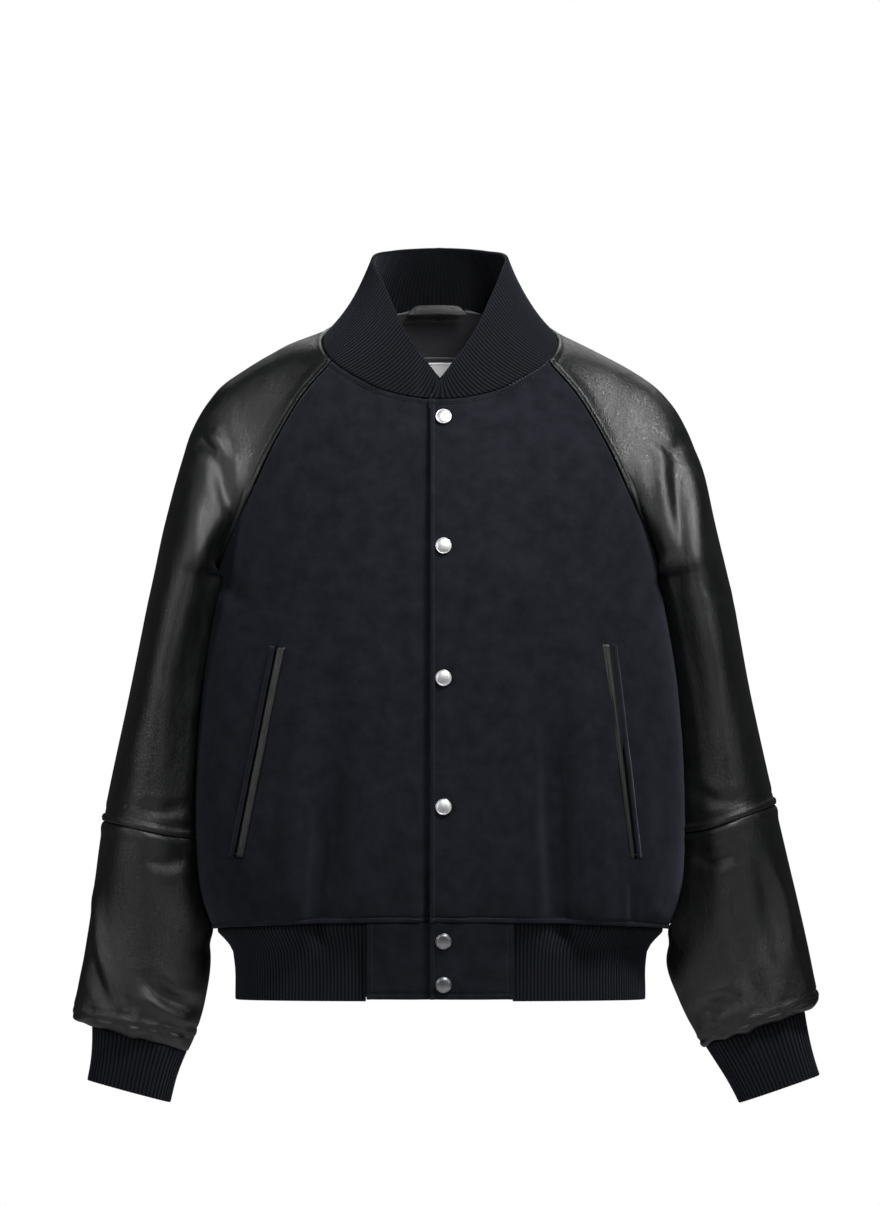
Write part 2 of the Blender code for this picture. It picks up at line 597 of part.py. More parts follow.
def wall(name, grid, thickness, finish, inside=None, wrap=False, lift=0.0):
    """A closed wall: outer skin on the grid moved out by lift, inner skin thickness below it."""
    cut = trimmed(grid, wrap)
    rows, columns = cut.shape[:2]
    normal = normals(cut, body_axis(cut) if inside is None else inside, wrap)
    skins = np.concatenate([(cut + normal * lift).reshape(-1, 3),
                            (cut + normal * (lift - thickness)).reshape(-1, 3)])
    index = np.arange(rows * columns).reshape(rows, columns)
    if wrap:
        index = np.concatenate([index, index[:, :1]], axis=1)
    faces = grid_faces(rows, columns, wrap)
    rims = [index[0], index[-1]] if wrap else [index[0], index[-1], index[:, 0], index[:, -1]]
    faces = np.concatenate([faces, faces[:, ::-1] + rows * columns]
                           + [edge_faces(rim, rows * columns) for rim in rims])
    mesh = bpy.data.meshes.new(name)
    mesh.from_pydata(skins.tolist(), [], faces.tolist())
    shape = bmesh.new()
    shape.from_mesh(mesh)
    bmesh.ops.recalc_face_normals(shape, faces=shape.faces)
    shape.to_mesh(mesh)
    shape.free()
    return add_object(name, mesh, finish)


def snap_cap(name, height):
    """A press stud's domed cap, turned from its profile and set square on the left front."""
    section = BODY if height > HEM_FRONT else TAB
    turn = np.linspace(0.0, 2 * np.pi, SNAP_SIDES + 1)[:-1]
    rings = np.array([[(share * SNAP_RADIUS * math.cos(a), share * SNAP_RADIUS * math.sin(a), up)
                       for a in turn] for share, up in SNAP_PROFILE])
    shape = bmesh.new()
    loops = [[shape.verts.new(point) for point in ring] for ring in rings]
    for low, high in zip(loops, loops[1:]):
        for k in range(len(turn)):
            following = (k + 1) % len(turn)
            shape.faces.new((low[k], low[following], high[following], high[k]))
    shape.faces.new(loops[0][::-1])
    shape.faces.new(loops[-1])
    mesh = bpy.data.meshes.new(name)
    shape.to_mesh(mesh)
    shape.free()
    at, below = (body_point(body_angle(SNAP_X, z, section), np.float64(z), section)
                 for z in (height, height - 0.004))
    slope = Vector(below - at).normalized()
    out = Vector((0.0, slope.z, -slope.y)).normalized()
    made = add_object(name, mesh, "snap" if section is BODY else "snap_dark")
    made.rotation_euler = out.to_track_quat("Z", "Y").to_euler()
    made.location = Vector(at) + out * SNAP_LIFT
    return made


def build():
    """Make every piece."""
    for side in SIDES:
        mirror = np.array([side["sign"], 1.0, 1.0])
        wall("front_" + side["name"], front_grid(side), WOOL, "wool")
        wall("hem_tab_" + side["name"], hem_tab_grid(side), WOOL, "wool")
        wall("pocket_welt_" + side["name"], welt_grid(side), TRIM_THICKNESS, "leather",
             lift=TRIM_THICKNESS + LAID_ON)
        for face, half in ((-1, "front"), (1, "back")):
            for stretch, made in (("upper", upper_sleeve), ("lower", lower_sleeve)):
                grid = made(side, face) * mirror
                wall(f"sleeve_{side['name']}_{stretch}_{half}", grid, LEATHER, "leather",
                     inside=sleeve_axis(grid))
        cuff = cuff_grid(side) * mirror
        wall("cuff_" + side["name"], cuff, KNIT, "rib", inside=cuff.mean(axis=1, keepdims=True),
             wrap=True)
    back = back_grid()
    wall("back", back, WOOL, "wool")
    wall("collar", collar_grid(), KNIT, "rib")
    wall("hem_rib", hem_rib_grid(), KNIT, "rib")
    lining = sunk(back, WOOL + LAID_ON)[:, 1:-1]
    wall("neck_facing", lining[:2], SATIN, "satin")
    wall("back_lining", lining[1:-1], SATIN, "satin")
    middle = BACK_COLUMNS / 2.0
    label = patch(sunk(back, WOOL + SATIN + 3 * LAID_ON), np.array(LABEL_ROWS),
                  middle + LABEL_HALF_COLUMNS * np.linspace(-1.0, 1.0, 5))
    wall("label", label, LABEL_THICKNESS, "label")
    wall("hanger_loop", loop_grid(), TRIM_THICKNESS, "leather")
    for number, height in enumerate(SNAP_HEIGHTS, 1):
        snap_cap(f"snap_{number}", height)


build()
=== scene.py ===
"""Finished look of the varsity jacket: wool body, leather raglan sleeves, rib-knit collar, cuffs
and hem, snaps, slanted pockets, topstitching and what shows inside the neck.

Every cloth piece is a thin shell on its solid's own form.  Its outer skin is a grid worked out
from the body and sleeve curves, pushed out and in along its normals for folds, seams, stitched
bands and ribs; its inner skin is the same grid moved in by the cloth's thickness.
"""
import json
import math

import bpy
import mathutils
import numpy as np
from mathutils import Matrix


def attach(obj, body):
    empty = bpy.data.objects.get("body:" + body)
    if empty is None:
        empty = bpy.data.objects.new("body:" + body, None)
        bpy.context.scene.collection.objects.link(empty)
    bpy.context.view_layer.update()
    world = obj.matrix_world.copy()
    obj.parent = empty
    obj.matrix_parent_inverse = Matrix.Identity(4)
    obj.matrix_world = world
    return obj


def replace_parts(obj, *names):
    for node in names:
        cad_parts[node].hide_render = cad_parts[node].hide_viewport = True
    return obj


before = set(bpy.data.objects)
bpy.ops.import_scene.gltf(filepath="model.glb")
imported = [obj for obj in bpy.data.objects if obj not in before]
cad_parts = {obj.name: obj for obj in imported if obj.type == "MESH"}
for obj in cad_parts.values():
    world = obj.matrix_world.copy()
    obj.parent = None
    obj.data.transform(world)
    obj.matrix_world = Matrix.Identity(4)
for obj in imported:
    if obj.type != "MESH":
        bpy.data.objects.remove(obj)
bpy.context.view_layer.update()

# ---- cloth ---------------------------------------------------------------------------------
WOOL = 0.0025
LEATHER = 0.0018
KNIT = 0.0030
SATIN = 0.0010
TUCK = 0.0005               # how far a sewn edge runs on under its neighbour
LAID_ON = 0.0005
LEAN = 0.0130               # how far the sleeves' front halves bulge towards the body
LEAST_FLAT_SIDE = 0.010     # no cut may be stated narrower than this

# ---- topstitched bands: each is the width from the edge to the stitches -----------------------
BAND = 0.0056
NECK_BAND = 0.0058
FRONT_BAND = 0.0055
FRONT_STITCH = 0.0052
RAGLAN_BAND = 0.0060
TAB_BAND = 0.0060
ELBOW_BAND = 0.0080
CUFF_BAND = 0.0070
SEAM_STITCH = 0.0012        # the second line, close to the seam
STITCH_PITCH = 0.0030

# ---- ribs: distance from one to the next, and height ------------------------------------------
COLLAR_RIB = 0.0035
COLLAR_RIB_HEIGHT = 0.0011
HEM_RIB = 0.0037
HEM_RIB_HEIGHT = 0.0012
CUFF_RIB = 0.0041
CUFF_RIB_HEIGHT = 0.0013

# ---- fineness of the grids --------------------------------------------------------------------
RIM_ROWS = 8                # of a free edge's half round rim
FRONT_ROWS, FRONT_COLUMNS = 136, 104
BACK_ROWS, BACK_COLUMNS = 132, 142
SHOULDER_ROWS, ARM_ROWS, FOREARM_ROWS, TURN_ROWS, SLEEVE_COLUMNS = 80, 78, 84, 12, 60
CUFF_ROWS, CUFF_COLUMNS = 26, 229
COLLAR_ROWS, COLLAR_COLUMNS = 20, 560
HEM_ROWS, HEM_COLUMNS = 14, 810
TAB_ROWS, TAB_COLUMNS = 50, 56
LINING_ROWS, FACING_COLUMNS, LINING_COLUMNS, LABEL_COLUMNS = 60, 70, 100, 36
TAPE_ROWS, TAPE_COLUMNS = 9, 170
WELT_POINTS, MOUTH_POINTS = 120, 60
LOOP_ROWS, LOOP_COLUMNS = 17, 80

# ---- the jacket's form, as its solids have it ------------------------------------------------
BODY_POWER = 2.3
BODY_Y = 0.005
HEM_SIDE = -0.577
HEM_FRONT = -0.569
HEM_END = -0.643
BODY_WIDTH = ((0.0215, 0.096), (0.0, 0.111), (-0.027, 0.132), (-0.060, 0.160), (-0.100, 0.182),
              (-0.150, 0.199), (-0.200, 0.211), (-0.235, 0.217), (-0.276, 0.224), (-0.329, 0.233),
              (-0.415, 0.240), (-0.500, 0.239), (-0.545, 0.233), (-0.565, 0.226), (-0.577, 0.219))
BODY_FRONT = ((0.0, 0.066), (-0.027, 0.078), (-0.064, 0.092), (-0.100, 0.108), (-0.150, 0.122),
              (-0.200, 0.130), (-0.330, 0.137), (-0.420, 0.139), (-0.520, 0.142), (-0.560, 0.139),
              (-0.577, 0.134))
BODY_BACK = ((0.0215, 0.072), (0.0, 0.086), (-0.030, 0.099), (-0.060, 0.108), (-0.100, 0.117),
             (-0.200, 0.124), (-0.350, 0.121), (-0.500, 0.127), (-0.560, 0.125), (-0.577, 0.121))
HEM_WIDTH = ((-0.569, 0.2180), (-0.577, 0.2160), (-0.587, 0.207), (-0.595, 0.201), (-0.605, 0.199),
             (-0.643, 0.198))
HEM_FRONT_DEPTH = ((-0.569, 0.1345), (-0.577, 0.1310), (-0.590, 0.1260), (-0.605, 0.1230),
                   (-0.643, 0.1210))
HEM_BACK_DEPTH = ((-0.569, 0.1185), (-0.577, 0.1170), (-0.590, 0.1120), (-0.605, 0.1090),
                  (-0.643, 0.1080))
TAB_FRONT_DEPTH = ((-0.569, 0.1368), (-0.590, 0.1328), (-0.643, 0.1250))
BODY = (BODY_WIDTH, BODY_FRONT, BODY_BACK)
HEM = (HEM_WIDTH, HEM_FRONT_DEPTH, HEM_BACK_DEPTH)
TAB = (HEM_WIDTH, TAB_FRONT_DEPTH, HEM_BACK_DEPTH)
NECK_FRONT = -0.0640
NECK_SIDE = 0.0
NECK_BACK = 0.0215
ARMPIT = -0.235
ARM_RING = -0.222
RAGLAN_FRONT = ((-0.027, 0.104), (-0.055, 0.129), (-0.100, 0.157), (-0.150, 0.181),
                (-0.196, 0.203), (ARMPIT, 0.217))
RAGLAN_BACK = ((0.014, 0.078), (-0.050, 0.118), (-0.100, 0.150), (-0.150, 0.178),
               (-0.200, 0.201), (ARMPIT, 0.217))
OVER_ARM_HEIGHT = ((0.0, 0.0), (0.171, -0.021), (0.364, -0.050), (0.493, -0.079), (0.655, -0.123),
                   (0.858, -0.181), (1.0, ARM_RING))
SLEEVE_HALF_DEPTH = ((0.0, 0.084), (0.15, 0.085), (0.35, 0.081), (0.57, 0.071), (0.80, 0.053),
                     (1.0, 0.046))
SLEEVE_CENTRE_Y = ((0.0, 0.005), (0.35, 0.010), (0.65, 0.009), (1.0, 0.003))
CUFF_HALF_DEPTH = (0.037, 0.032)
CLOSING_EDGE = -0.010
UNDERLAP_END = 0.012
UNDERLAP_DIP = 0.0052
TAB_WIDTH = 0.071
SNAP_X = 0.0034
SNAP_HEIGHTS = (-0.082, -0.206, -0.333, -0.457, -0.586, -0.628)
SNAP_RADIUS = 0.0077
COLLAR_EDGE = ((-4.0, -0.003, -0.0888, -0.0500), (0.0, 0.001, -0.0888, -0.0460),
               (14.0, 0.0155, -0.0870, -0.0270), (25.0, 0.027, -0.0820, -0.0120),
               (38.0, 0.039, -0.0720, 0.0080), (58.0, 0.051, -0.0520, 0.0340),
               (76.0, 0.062, -0.0270, 0.0600), (95.0, 0.066, 0.0, 0.0720),
               (135.0, 0.045, 0.0360, 0.0800), (180.0, 0.0, 0.0480, 0.0830),
               (225.0, -0.045, 0.0360, 0.0800))

# over and under are a sleeve's outer and inner line, as (height, distance from the middle), and
# end is where they reach the cuff.  elbow is the seam's share of the way there from the armpit.
# A fold or crease is its line's (x, z) points, its half width and its depth, which is below
# zero for a ridge.
LEFT = dict(
    name="left", sign=1.0, elbow=0.557, end=(-0.642, -0.684),
    over=((0.0, 0.111), (-0.007, 0.128), (-0.021, 0.157), (-0.036, 0.185), (-0.050, 0.206),
          (-0.065, 0.221), (-0.094, 0.239), (-0.123, 0.2495), (-0.181, 0.265), (-0.239, 0.2795),
          (-0.355, 0.302), (-0.471, 0.328), (-0.587, 0.355), (-0.642, 0.3665)),
    under=((ARMPIT, 0.2175), (-0.276, 0.228), (-0.329, 0.2375), (-0.415, 0.2445), (-0.490, 0.2445),
           (-0.540, 0.2405), (-0.565, 0.2325), (-0.585, 0.2235), (-0.604, 0.2190),
           (-0.645, 0.2310), (-0.684, 0.2510)),
    cuff_top=((0.3538, -0.6550), (0.2554, -0.6890)),
    cuff_end=((0.3682, -0.7160), (0.2878, -0.7440)),
    fold=dict(x=0.112, lean=0.004, top=-0.335, depth=0.015, ridge=0.007),
    welt=((0.163, -0.300), (0.187, -0.507)),
    folds=((((0.185, -0.530), (0.185, -0.575)), 0.003, 0.0030),
           (((0.108, -0.290), (0.112, -0.440), (0.116, -0.590)), 0.018, 0.0080),
           (((0.146, -0.340), (0.150, -0.450), (0.152, -0.590)), 0.018, -0.0030),
           (((0.180, -0.300), (0.215, -0.420), (0.214, -0.540)), 0.016, 0.0030),
           (((0.030, -0.480), (0.034, -0.568)), 0.012, 0.0020),
           (((0.206, -0.235), (0.190, -0.262)), 0.009, 0.0030)),
    creases=((((0.199, -0.096), (0.216, -0.108), (0.224, -0.114), (0.236, -0.103)), 0.005, 0.0022),
             (((0.224, -0.114), (0.229, -0.150), (0.231, -0.190), (0.231, -0.240)), 0.009, 0.0070),
             (((0.204, -0.108), (0.210, -0.160), (0.215, -0.215)), 0.007, 0.0020),
             (((0.214, -0.118), (0.218, -0.170)), 0.007, -0.0014),
             (((0.243, -0.108), (0.250, -0.160), (0.256, -0.230)), 0.009, -0.0020),
             (((0.256, -0.240), (0.278, -0.262)), 0.005, 0.0015),
             (((0.244, -0.440), (0.268, -0.452), (0.300, -0.448)), 0.006, 0.0022),
             (((0.244, -0.500), (0.262, -0.510), (0.285, -0.502)), 0.007, 0.0030),
             (((0.318, -0.505), (0.331, -0.545), (0.342, -0.600)), 0.006, -0.0030),
             (((0.305, -0.500), (0.316, -0.550), (0.330, -0.620)), 0.009, 0.0030),
             (((0.252, -0.655), (0.266, -0.650), (0.284, -0.645)), 0.007, 0.0060),
             (((0.300, -0.580), (0.300, -0.620), (0.306, -0.655)), 0.009, 0.0025)))
RIGHT = dict(
    name="right", sign=-1.0, elbow=0.573, end=(-0.658, -0.680),
    over=((0.0, 0.111), (-0.007, 0.136), (-0.021, 0.165), (-0.036, 0.190), (-0.050, 0.210),
          (-0.065, 0.223), (-0.094, 0.240), (-0.123, 0.2495), (-0.181, 0.265), (-0.239, 0.278),
          (-0.355, 0.302), (-0.471, 0.326), (-0.587, 0.342), (-0.658, 0.355)),
    under=((ARMPIT, 0.2175), (-0.276, 0.228), (-0.329, 0.2375), (-0.415, 0.2445), (-0.480, 0.2445),
           (-0.530, 0.2395), (-0.555, 0.2335), (-0.575, 0.2260), (-0.592, 0.2225),
           (-0.645, 0.2270), (-0.680, 0.2370)),
    cuff_top=((0.3378, -0.6694), (0.2442, -0.6946)),
    cuff_end=((0.3420, -0.7210), (0.2600, -0.7430)),
    fold=dict(x=0.105, lean=0.010, top=-0.400, depth=0.013, ridge=0.006),
    welt=((0.156, -0.303), (0.196, -0.506)),
    folds=((((0.101, -0.320), (0.106, -0.460), (0.113, -0.590)), 0.017, 0.0070),
           (((0.130, -0.360), (0.136, -0.450), (0.140, -0.590)), 0.013, -0.0030),
           (((0.172, -0.250), (0.180, -0.330), (0.214, -0.520)), 0.016, 0.0030),
           (((0.060, -0.470), (0.058, -0.568)), 0.012, 0.0020),
           (((0.206, -0.235), (0.192, -0.265)), 0.009, 0.0030)),
    creases=((((0.233, -0.104), (0.224, -0.110), (0.213, -0.118)), 0.005, 0.0040),
             (((0.215, -0.115), (0.207, -0.150), (0.196, -0.185)), 0.008, 0.0055),
             (((0.188, -0.135), (0.187, -0.170), (0.198, -0.200)), 0.007, 0.0030),
             (((0.222, -0.092), (0.214, -0.110), (0.208, -0.125)), 0.006, -0.0035),
             (((0.198, -0.180), (0.212, -0.215), (0.222, -0.236)), 0.009, 0.0050),
             (((0.236, -0.115), (0.238, -0.220), (0.254, -0.320)), 0.010, -0.0025),
             (((0.244, -0.455), (0.266, -0.462), (0.300, -0.458)), 0.006, 0.0022),
             (((0.244, -0.505), (0.262, -0.512), (0.285, -0.505)), 0.007, 0.0025),
             (((0.333, -0.530), (0.331, -0.585), (0.320, -0.625), (0.307, -0.656)), 0.005, -0.0040),
             (((0.342, -0.560), (0.338, -0.600), (0.325, -0.640)), 0.008, 0.0045),
             (((0.281, -0.625), (0.262, -0.642), (0.232, -0.652)), 0.007, 0.0055),
             (((0.286, -0.640), (0.262, -0.657), (0.238, -0.668)), 0.006, -0.0030),
             (((0.300, -0.640), (0.296, -0.665)), 0.006, 0.0040)))
SIDES = (LEFT, RIGHT)
BACK_CREASES = ((((0.190, -0.120), (0.205, -0.170), (0.220, -0.235)), 0.009, 0.0060),
                (((0.228, -0.130), (0.236, -0.190), (0.244, -0.250)), 0.008, 0.0040),
                (((0.246, -0.448), (0.280, -0.440), (0.305, -0.452)), 0.007, 0.0025),
                (((0.246, -0.505), (0.275, -0.515), (0.300, -0.503)), 0.008, 0.0030),
                (((0.330, -0.560), (0.322, -0.610), (0.305, -0.650)), 0.007, 0.0040),
                (((0.250, -0.640), (0.272, -0.650)), 0.006, 0.0040))
BACK_BODY_CREASES = ((((0.150, -0.120), (0.163, -0.175), (0.186, -0.225)), 0.009, 0.0024),)
BACK_FOLDS = ((-0.120, 0.0040), (0.060, 0.0024), (0.134, 0.0036))   # (x, depth)

# ---- pockets: lanes are (distance outwards of the pocket's line, height over the wool) --------
WELT_LANES = ((-0.0072, 0.0004), (-0.0070, 0.0012), (-0.0064, 0.0018), (-0.0054, 0.0019),
              (-0.0046, 0.0015), (-0.0040, 0.0016), (-0.0026, 0.0020), (-0.0012, 0.0021),
              (-0.0003, 0.0018), (0.0001, 0.0010))
MOUTH_LANES = ((-0.0002, 0.0006), (0.0012, 0.0003), (0.0028, 0.0006))
LIP_LANES = ((0.0024, 0.0002), (0.0026, 0.0014), (0.0033, 0.0020), (0.0045, 0.0019),
             (0.0060, 0.0011), (0.0076, 0.0001))
BAR_LANES = ((-0.0065, 0.0019), (-0.003, 0.0020), (0.0, 0.0019), (0.004, 0.0014))
BAR_ROWS = (2, -3)          # the welt's points where its bars of stitches lie
WELT_WALL = 0.0004
MOUTH_WALL = 0.0003

# ---- inside the back neck: where each piece starts and ends, as shares of the way down the back
FACING_SPAN = (0.0005, 0.0700)
LINING_SPAN = (0.0705, 0.928)
LABEL_SPAN = (0.0795, 0.1637)
LINING_REACH = 0.857        # of the back's half width
LABEL_REACH = 0.2286
LABEL_WALL = 0.0008
LOOP_WALL = 0.0014
FINE_STITCH = dict(pitch=0.0026, length=0.0018, width=0.00025)

# ---- stage: lights are name, place, aim, sides and watts --------------------------------------
LIGHTS = (("key", (0.45, -0.85, 0.75), (0.08, 0.0, -0.12), (0.30, 0.30), 17.5),
          ("front", (0.25, -2.4, 1.0), (0.0, 0.0, -0.3), (0.40, 1.0), 8.5),
          ("fill", (-1.7, -1.3, 0.3), (0.0, 0.0, -0.35), (0.2, 1.6), 12.0),
          ("fill_right", (1.6, -1.7, 0.1), (0.0, 0.0, -0.35), (0.15, 1.4), 5.0),
          ("rim", (0.3, 2.2, 1.8), (0.0, 0.0, -0.1), (2.0, 0.8), 26.0))
FLOOR_HEIGHT, FLOOR_RADIUS, FLOOR_RINGS, FLOOR_SIDES = -1.45, 2.6, 7, 96
LENS = 617.0
CAMERA_PLACE = (0.0, -20.0, -0.261)


# ---- curves and fields ------------------------------------------------------------------------
def smooth(stations, at):
    """Smooth curve through (position, value) stations: cubic Hermite pieces whose slopes are
    the stations' own central differences."""
    table = np.array(sorted(stations))
    position, value = table[:, 0], table[:, 1:]
    slope = np.gradient(value, position, axis=0)
    at = np.clip(np.asarray(at, float), position[0], position[-1])
    i = np.clip(np.searchsorted(position, at) - 1, 0, len(position) - 2)
    span = (position[i + 1] - position[i])[..., None]
    t = (at - position[i])[..., None] / span
    curve = (value[i] * (2 * t ** 3 - 3 * t ** 2 + 1) + value[i + 1] * (3 * t ** 2 - 2 * t ** 3)
             + span * (slope[i] * (t ** 3 - 2 * t ** 2 + t) + slope[i + 1] * (t ** 3 - t ** 2)))
    return curve[..., 0] if curve.shape[-1] == 1 else curve


def ease(value, start, end):
    """0 before start, 1 after end, and a smooth step between."""
    t = np.clip((value - start) / (end - start), 0.0, 1.0)
    return t * t * (3 - 2 * t)


def bell(value, middle, width):
    """A bell curve of height 1: e to the minus ((value - middle) / width) squared."""
    return np.exp(-((value - middle) / width) ** 2)


def unit(vectors):
    """The same vectors at length 1."""
    return vectors / np.maximum(np.linalg.norm(vectors, axis=-1, keepdims=True), 1e-12)


def spread(count, crowd=0.75):
    """Shares from 0 to 1, crowded at both ends: t - crowd sin(2 pi t) / (2 pi)."""
    t = np.linspace(0.0, 1.0, count)
    return t - crowd * np.sin(2 * np.pi * t) / (2 * np.pi)


def cloud(x, y, size, seed):
    """Soft noise from -1 to 1: a lattice of seeded random heights, a size apart, eased between."""
    lattice = np.random.default_rng(seed).uniform(-1, 1, (64, 64))
    x, y = np.broadcast_arrays(x / size + 17.3, y / size + 9.1)
    i, j = np.floor(x).astype(int), np.floor(y).astype(int)
    a, b = ease(x - i, 0, 1), ease(y - j, 0, 1)
    corner = [lattice[(i + di) % 64, (j + dj) % 64] for di in (0, 1) for dj in (0, 1)]
    low = corner[0] * (1 - b) + corner[1] * b
    return low * (1 - a) + (corner[2] * (1 - b) + corner[3] * b) * a


def bezier(a, b, c, d, t):
    """Cubic curve from a to d with the control points b and c, one row for each of them."""
    t = t[None, :, None]
    a, b, c, d = (p[:, None, :] for p in (a, b, c, d))
    return (a * (1 - t) ** 3 + 3 * b * t * (1 - t) ** 2 + 3 * c * t ** 2 * (1 - t) + d * t ** 3)


def near_line(x, z, points):
    """Least distance to a smooth line through a few (x, z) points, and the share along it of the
    nearest place: the line is cut into short straight steps and each is measured."""
    knots = np.linspace(0.0, 1.0, len(points))
    line = smooth([(knot, *point) for knot, point in zip(knots, points)], np.linspace(0.0, 1.0, 15))
    step = np.diff(line, axis=0)
    away = np.stack([x, z], -1)[..., None, :] - line[:-1]
    t = np.clip(np.sum(away * step, -1) / np.sum(step ** 2, -1), 0.0, 1.0)
    gap = np.linalg.norm(away - t[..., None] * step, axis=-1)
    nearest = gap.argmin(axis=-1)[..., None]
    share = (nearest + np.take_along_axis(t, nearest, -1)) / len(step)
    return np.take_along_axis(gap, nearest, -1)[..., 0], share[..., 0]


def creases(x, z, lines):
    """How far creases press a surface in, seen from the front or back: each is a bell across its
    line that fades to nothing at both ends."""
    pressed = np.zeros(np.broadcast(x, z).shape)
    for points, width, depth in lines:
        gap, share = near_line(x, z, points)
        fade = np.sin(np.pi * np.clip(share, 0.02, 0.98)) ** 0.6
        pressed += depth * fade * (bell(gap, 0.0, width) - 0.35 * bell(gap, 1.9 * width, width))
    return pressed


# ---- the body's surface -------------------------------------------------------------------------
def body_point(theta, z, section=BODY):
    """Points of a level superellipse: theta runs from 0 at centre front round to pi at centre
    back, and x = width sin^(2/n), y = depth cos^(2/n) with the signs kept."""
    width, front, back = (smooth(stations, z) for stations in section)
    s, c = np.sin(theta), np.cos(theta)
    power = 2.0 / BODY_POWER
    x = width * np.sign(s) * np.abs(s) ** power
    y = BODY_Y - np.where(c > 0, front, back) * np.sign(c) * np.abs(c) ** power
    return np.stack(np.broadcast_arrays(x, y, z), -1)


def body_angle(x, z, section=BODY):
    """Angle of the front surface's point that has this x at this height."""
    share = np.clip(np.abs(x) / smooth(section[0], z), 0.0, 1.0)
    return np.sign(x) * np.arcsin(share ** (BODY_POWER / 2.0))


NECK_TO_FRONT_SEAM = float(body_angle(RAGLAN_FRONT[0][1], RAGLAN_FRONT[0][0]))
NECK_TO_BACK_SEAM = math.pi - float(body_angle(RAGLAN_BACK[0][1], RAGLAN_BACK[0][0]))
NECK_HEIGHT = ((-16.3, -0.0563), (0.0, NECK_FRONT), (16.3, -0.0563), (28.8, -0.0444),
               (math.degrees(NECK_TO_FRONT_SEAM), RAGLAN_FRONT[0][0]), (90.0, NECK_SIDE),
               (math.degrees(NECK_TO_BACK_SEAM), RAGLAN_BACK[0][0]), (180.0, NECK_BACK),
               (360.0 - math.degrees(NECK_TO_BACK_SEAM), RAGLAN_BACK[0][0]))


def body_normal(theta, z):
    """Outward normal of the body, from small steps round it and up it."""
    step = 0.0005
    round_it = body_point(theta + step, z) - body_point(theta - step, z)
    up_it = body_point(theta, z + step) - body_point(theta, z - step)
    return unit(np.cross(round_it, up_it))


def neck_height(theta):
    """Height of the neckline at an angle from centre front, the same on both sides."""
    return smooth(NECK_HEIGHT, np.degrees(np.abs(theta)))


def rise_share(neck_theta):
    """How far the neckline has risen at an angle, from 0 at centre front to 1 at the raglan."""
    return (neck_height(neck_theta) - NECK_FRONT) / (RAGLAN_FRONT[0][0] - NECK_FRONT)


def hem_seam(theta):
    """Height of the seam over the hem: it drops outwards as the fronts' rows do."""
    share = np.clip(np.abs(theta) / (np.pi / 2), 0.0, 1.0)
    return HEM_FRONT + (HEM_SIDE - HEM_FRONT) * rise_share(share * NECK_TO_FRONT_SEAM)


def drape(side, points):
    """The front's long drape fold: a trough with a soft ridge on its outer side, deepening
    towards the hem and dying out in the top of the rib."""
    fold = side["fold"]
    x, z = side["sign"] * points[..., 0], points[..., 2]
    middle = fold["x"] + fold["lean"] * ease(-z, -fold["top"], -HEM_SIDE)
    reach = ease(-z, -fold["top"], 0.50) * (1 - ease(-z, 0.577, 0.598))
    shift = fold["depth"] * bell(x, middle, 0.014) - fold["ridge"] * bell(x, middle + 0.030, 0.018)
    moved = points.copy()
    moved[..., 1] += np.where(x > 0, shift * reach, 0.0)
    return moved


def underlap(points):
    """The right side dips under the left one near the closing edge, at the front only."""
    moved = points.copy()
    near = ease(points[..., 0], CLOSING_EDGE - 0.016, CLOSING_EDGE - 0.004)
    moved[..., 1] += UNDERLAP_DIP * near * (points[..., 1] < 0)
    return moved


def seam_heights(neck_end, rows):
    """Heights down a panel's side from the neckline to the hem, crowded at both ends."""
    return neck_end + (HEM_SIDE - neck_end) * spread(rows)


def front_grid(side, rows, columns):
    """One front panel: rows from the neckline to the hem, columns from the closing edge to the
    raglan and side seams.  Each row rises outwards as the neckline does."""
    outer_z = seam_heights(RAGLAN_FRONT[0][0], rows)[:, None]
    share = (outer_z - outer_z[0]) / (HEM_SIDE - outer_z[0])
    inner_z = NECK_FRONT + share * (HEM_FRONT - NECK_FRONT)
    outer_x = np.where(outer_z > ARMPIT, smooth(RAGLAN_FRONT, outer_z), 1.0)
    inner_x = CLOSING_EDGE if side is LEFT else -UNDERLAP_END
    along = spread(columns, 0.6)[None, :]
    theta_out, theta_in = body_angle(outer_x, outer_z), body_angle(inner_x, inner_z)
    neck_theta = theta_in[0] + (NECK_TO_FRONT_SEAM - theta_in[0]) * along
    z = inner_z + (outer_z - inner_z) * rise_share(neck_theta)
    grid = body_point(theta_in + (theta_out - theta_in) * along, z)
    grid[..., 0] *= side["sign"]
    grid = drape(side, grid)
    return grid if side is LEFT else underlap(grid)


def back_grid(share, along):
    """The back, at shares of the way down it and at places along each row, from -1 at the right
    raglan and side seam to 1 at the left one."""
    share, along = share[:, None], along[None, :]
    outer_z = RAGLAN_BACK[0][0] + (HEM_SIDE - RAGLAN_BACK[0][0]) * share
    middle_z = NECK_BACK + share * (HEM_SIDE - NECK_BACK)
    outer_x = np.where(outer_z > ARMPIT, smooth(RAGLAN_BACK, outer_z), 1.0)
    theta_out = np.pi - body_angle(outer_x, outer_z)
    theta = np.pi + (theta_out - np.pi) * along
    neck_theta = np.pi + (NECK_TO_BACK_SEAM - np.pi) * np.abs(along)
    drop = (neck_height(neck_theta) - NECK_BACK) / (RAGLAN_BACK[0][0] - NECK_BACK)
    return body_point(theta, middle_z + (outer_z - middle_z) * drop)


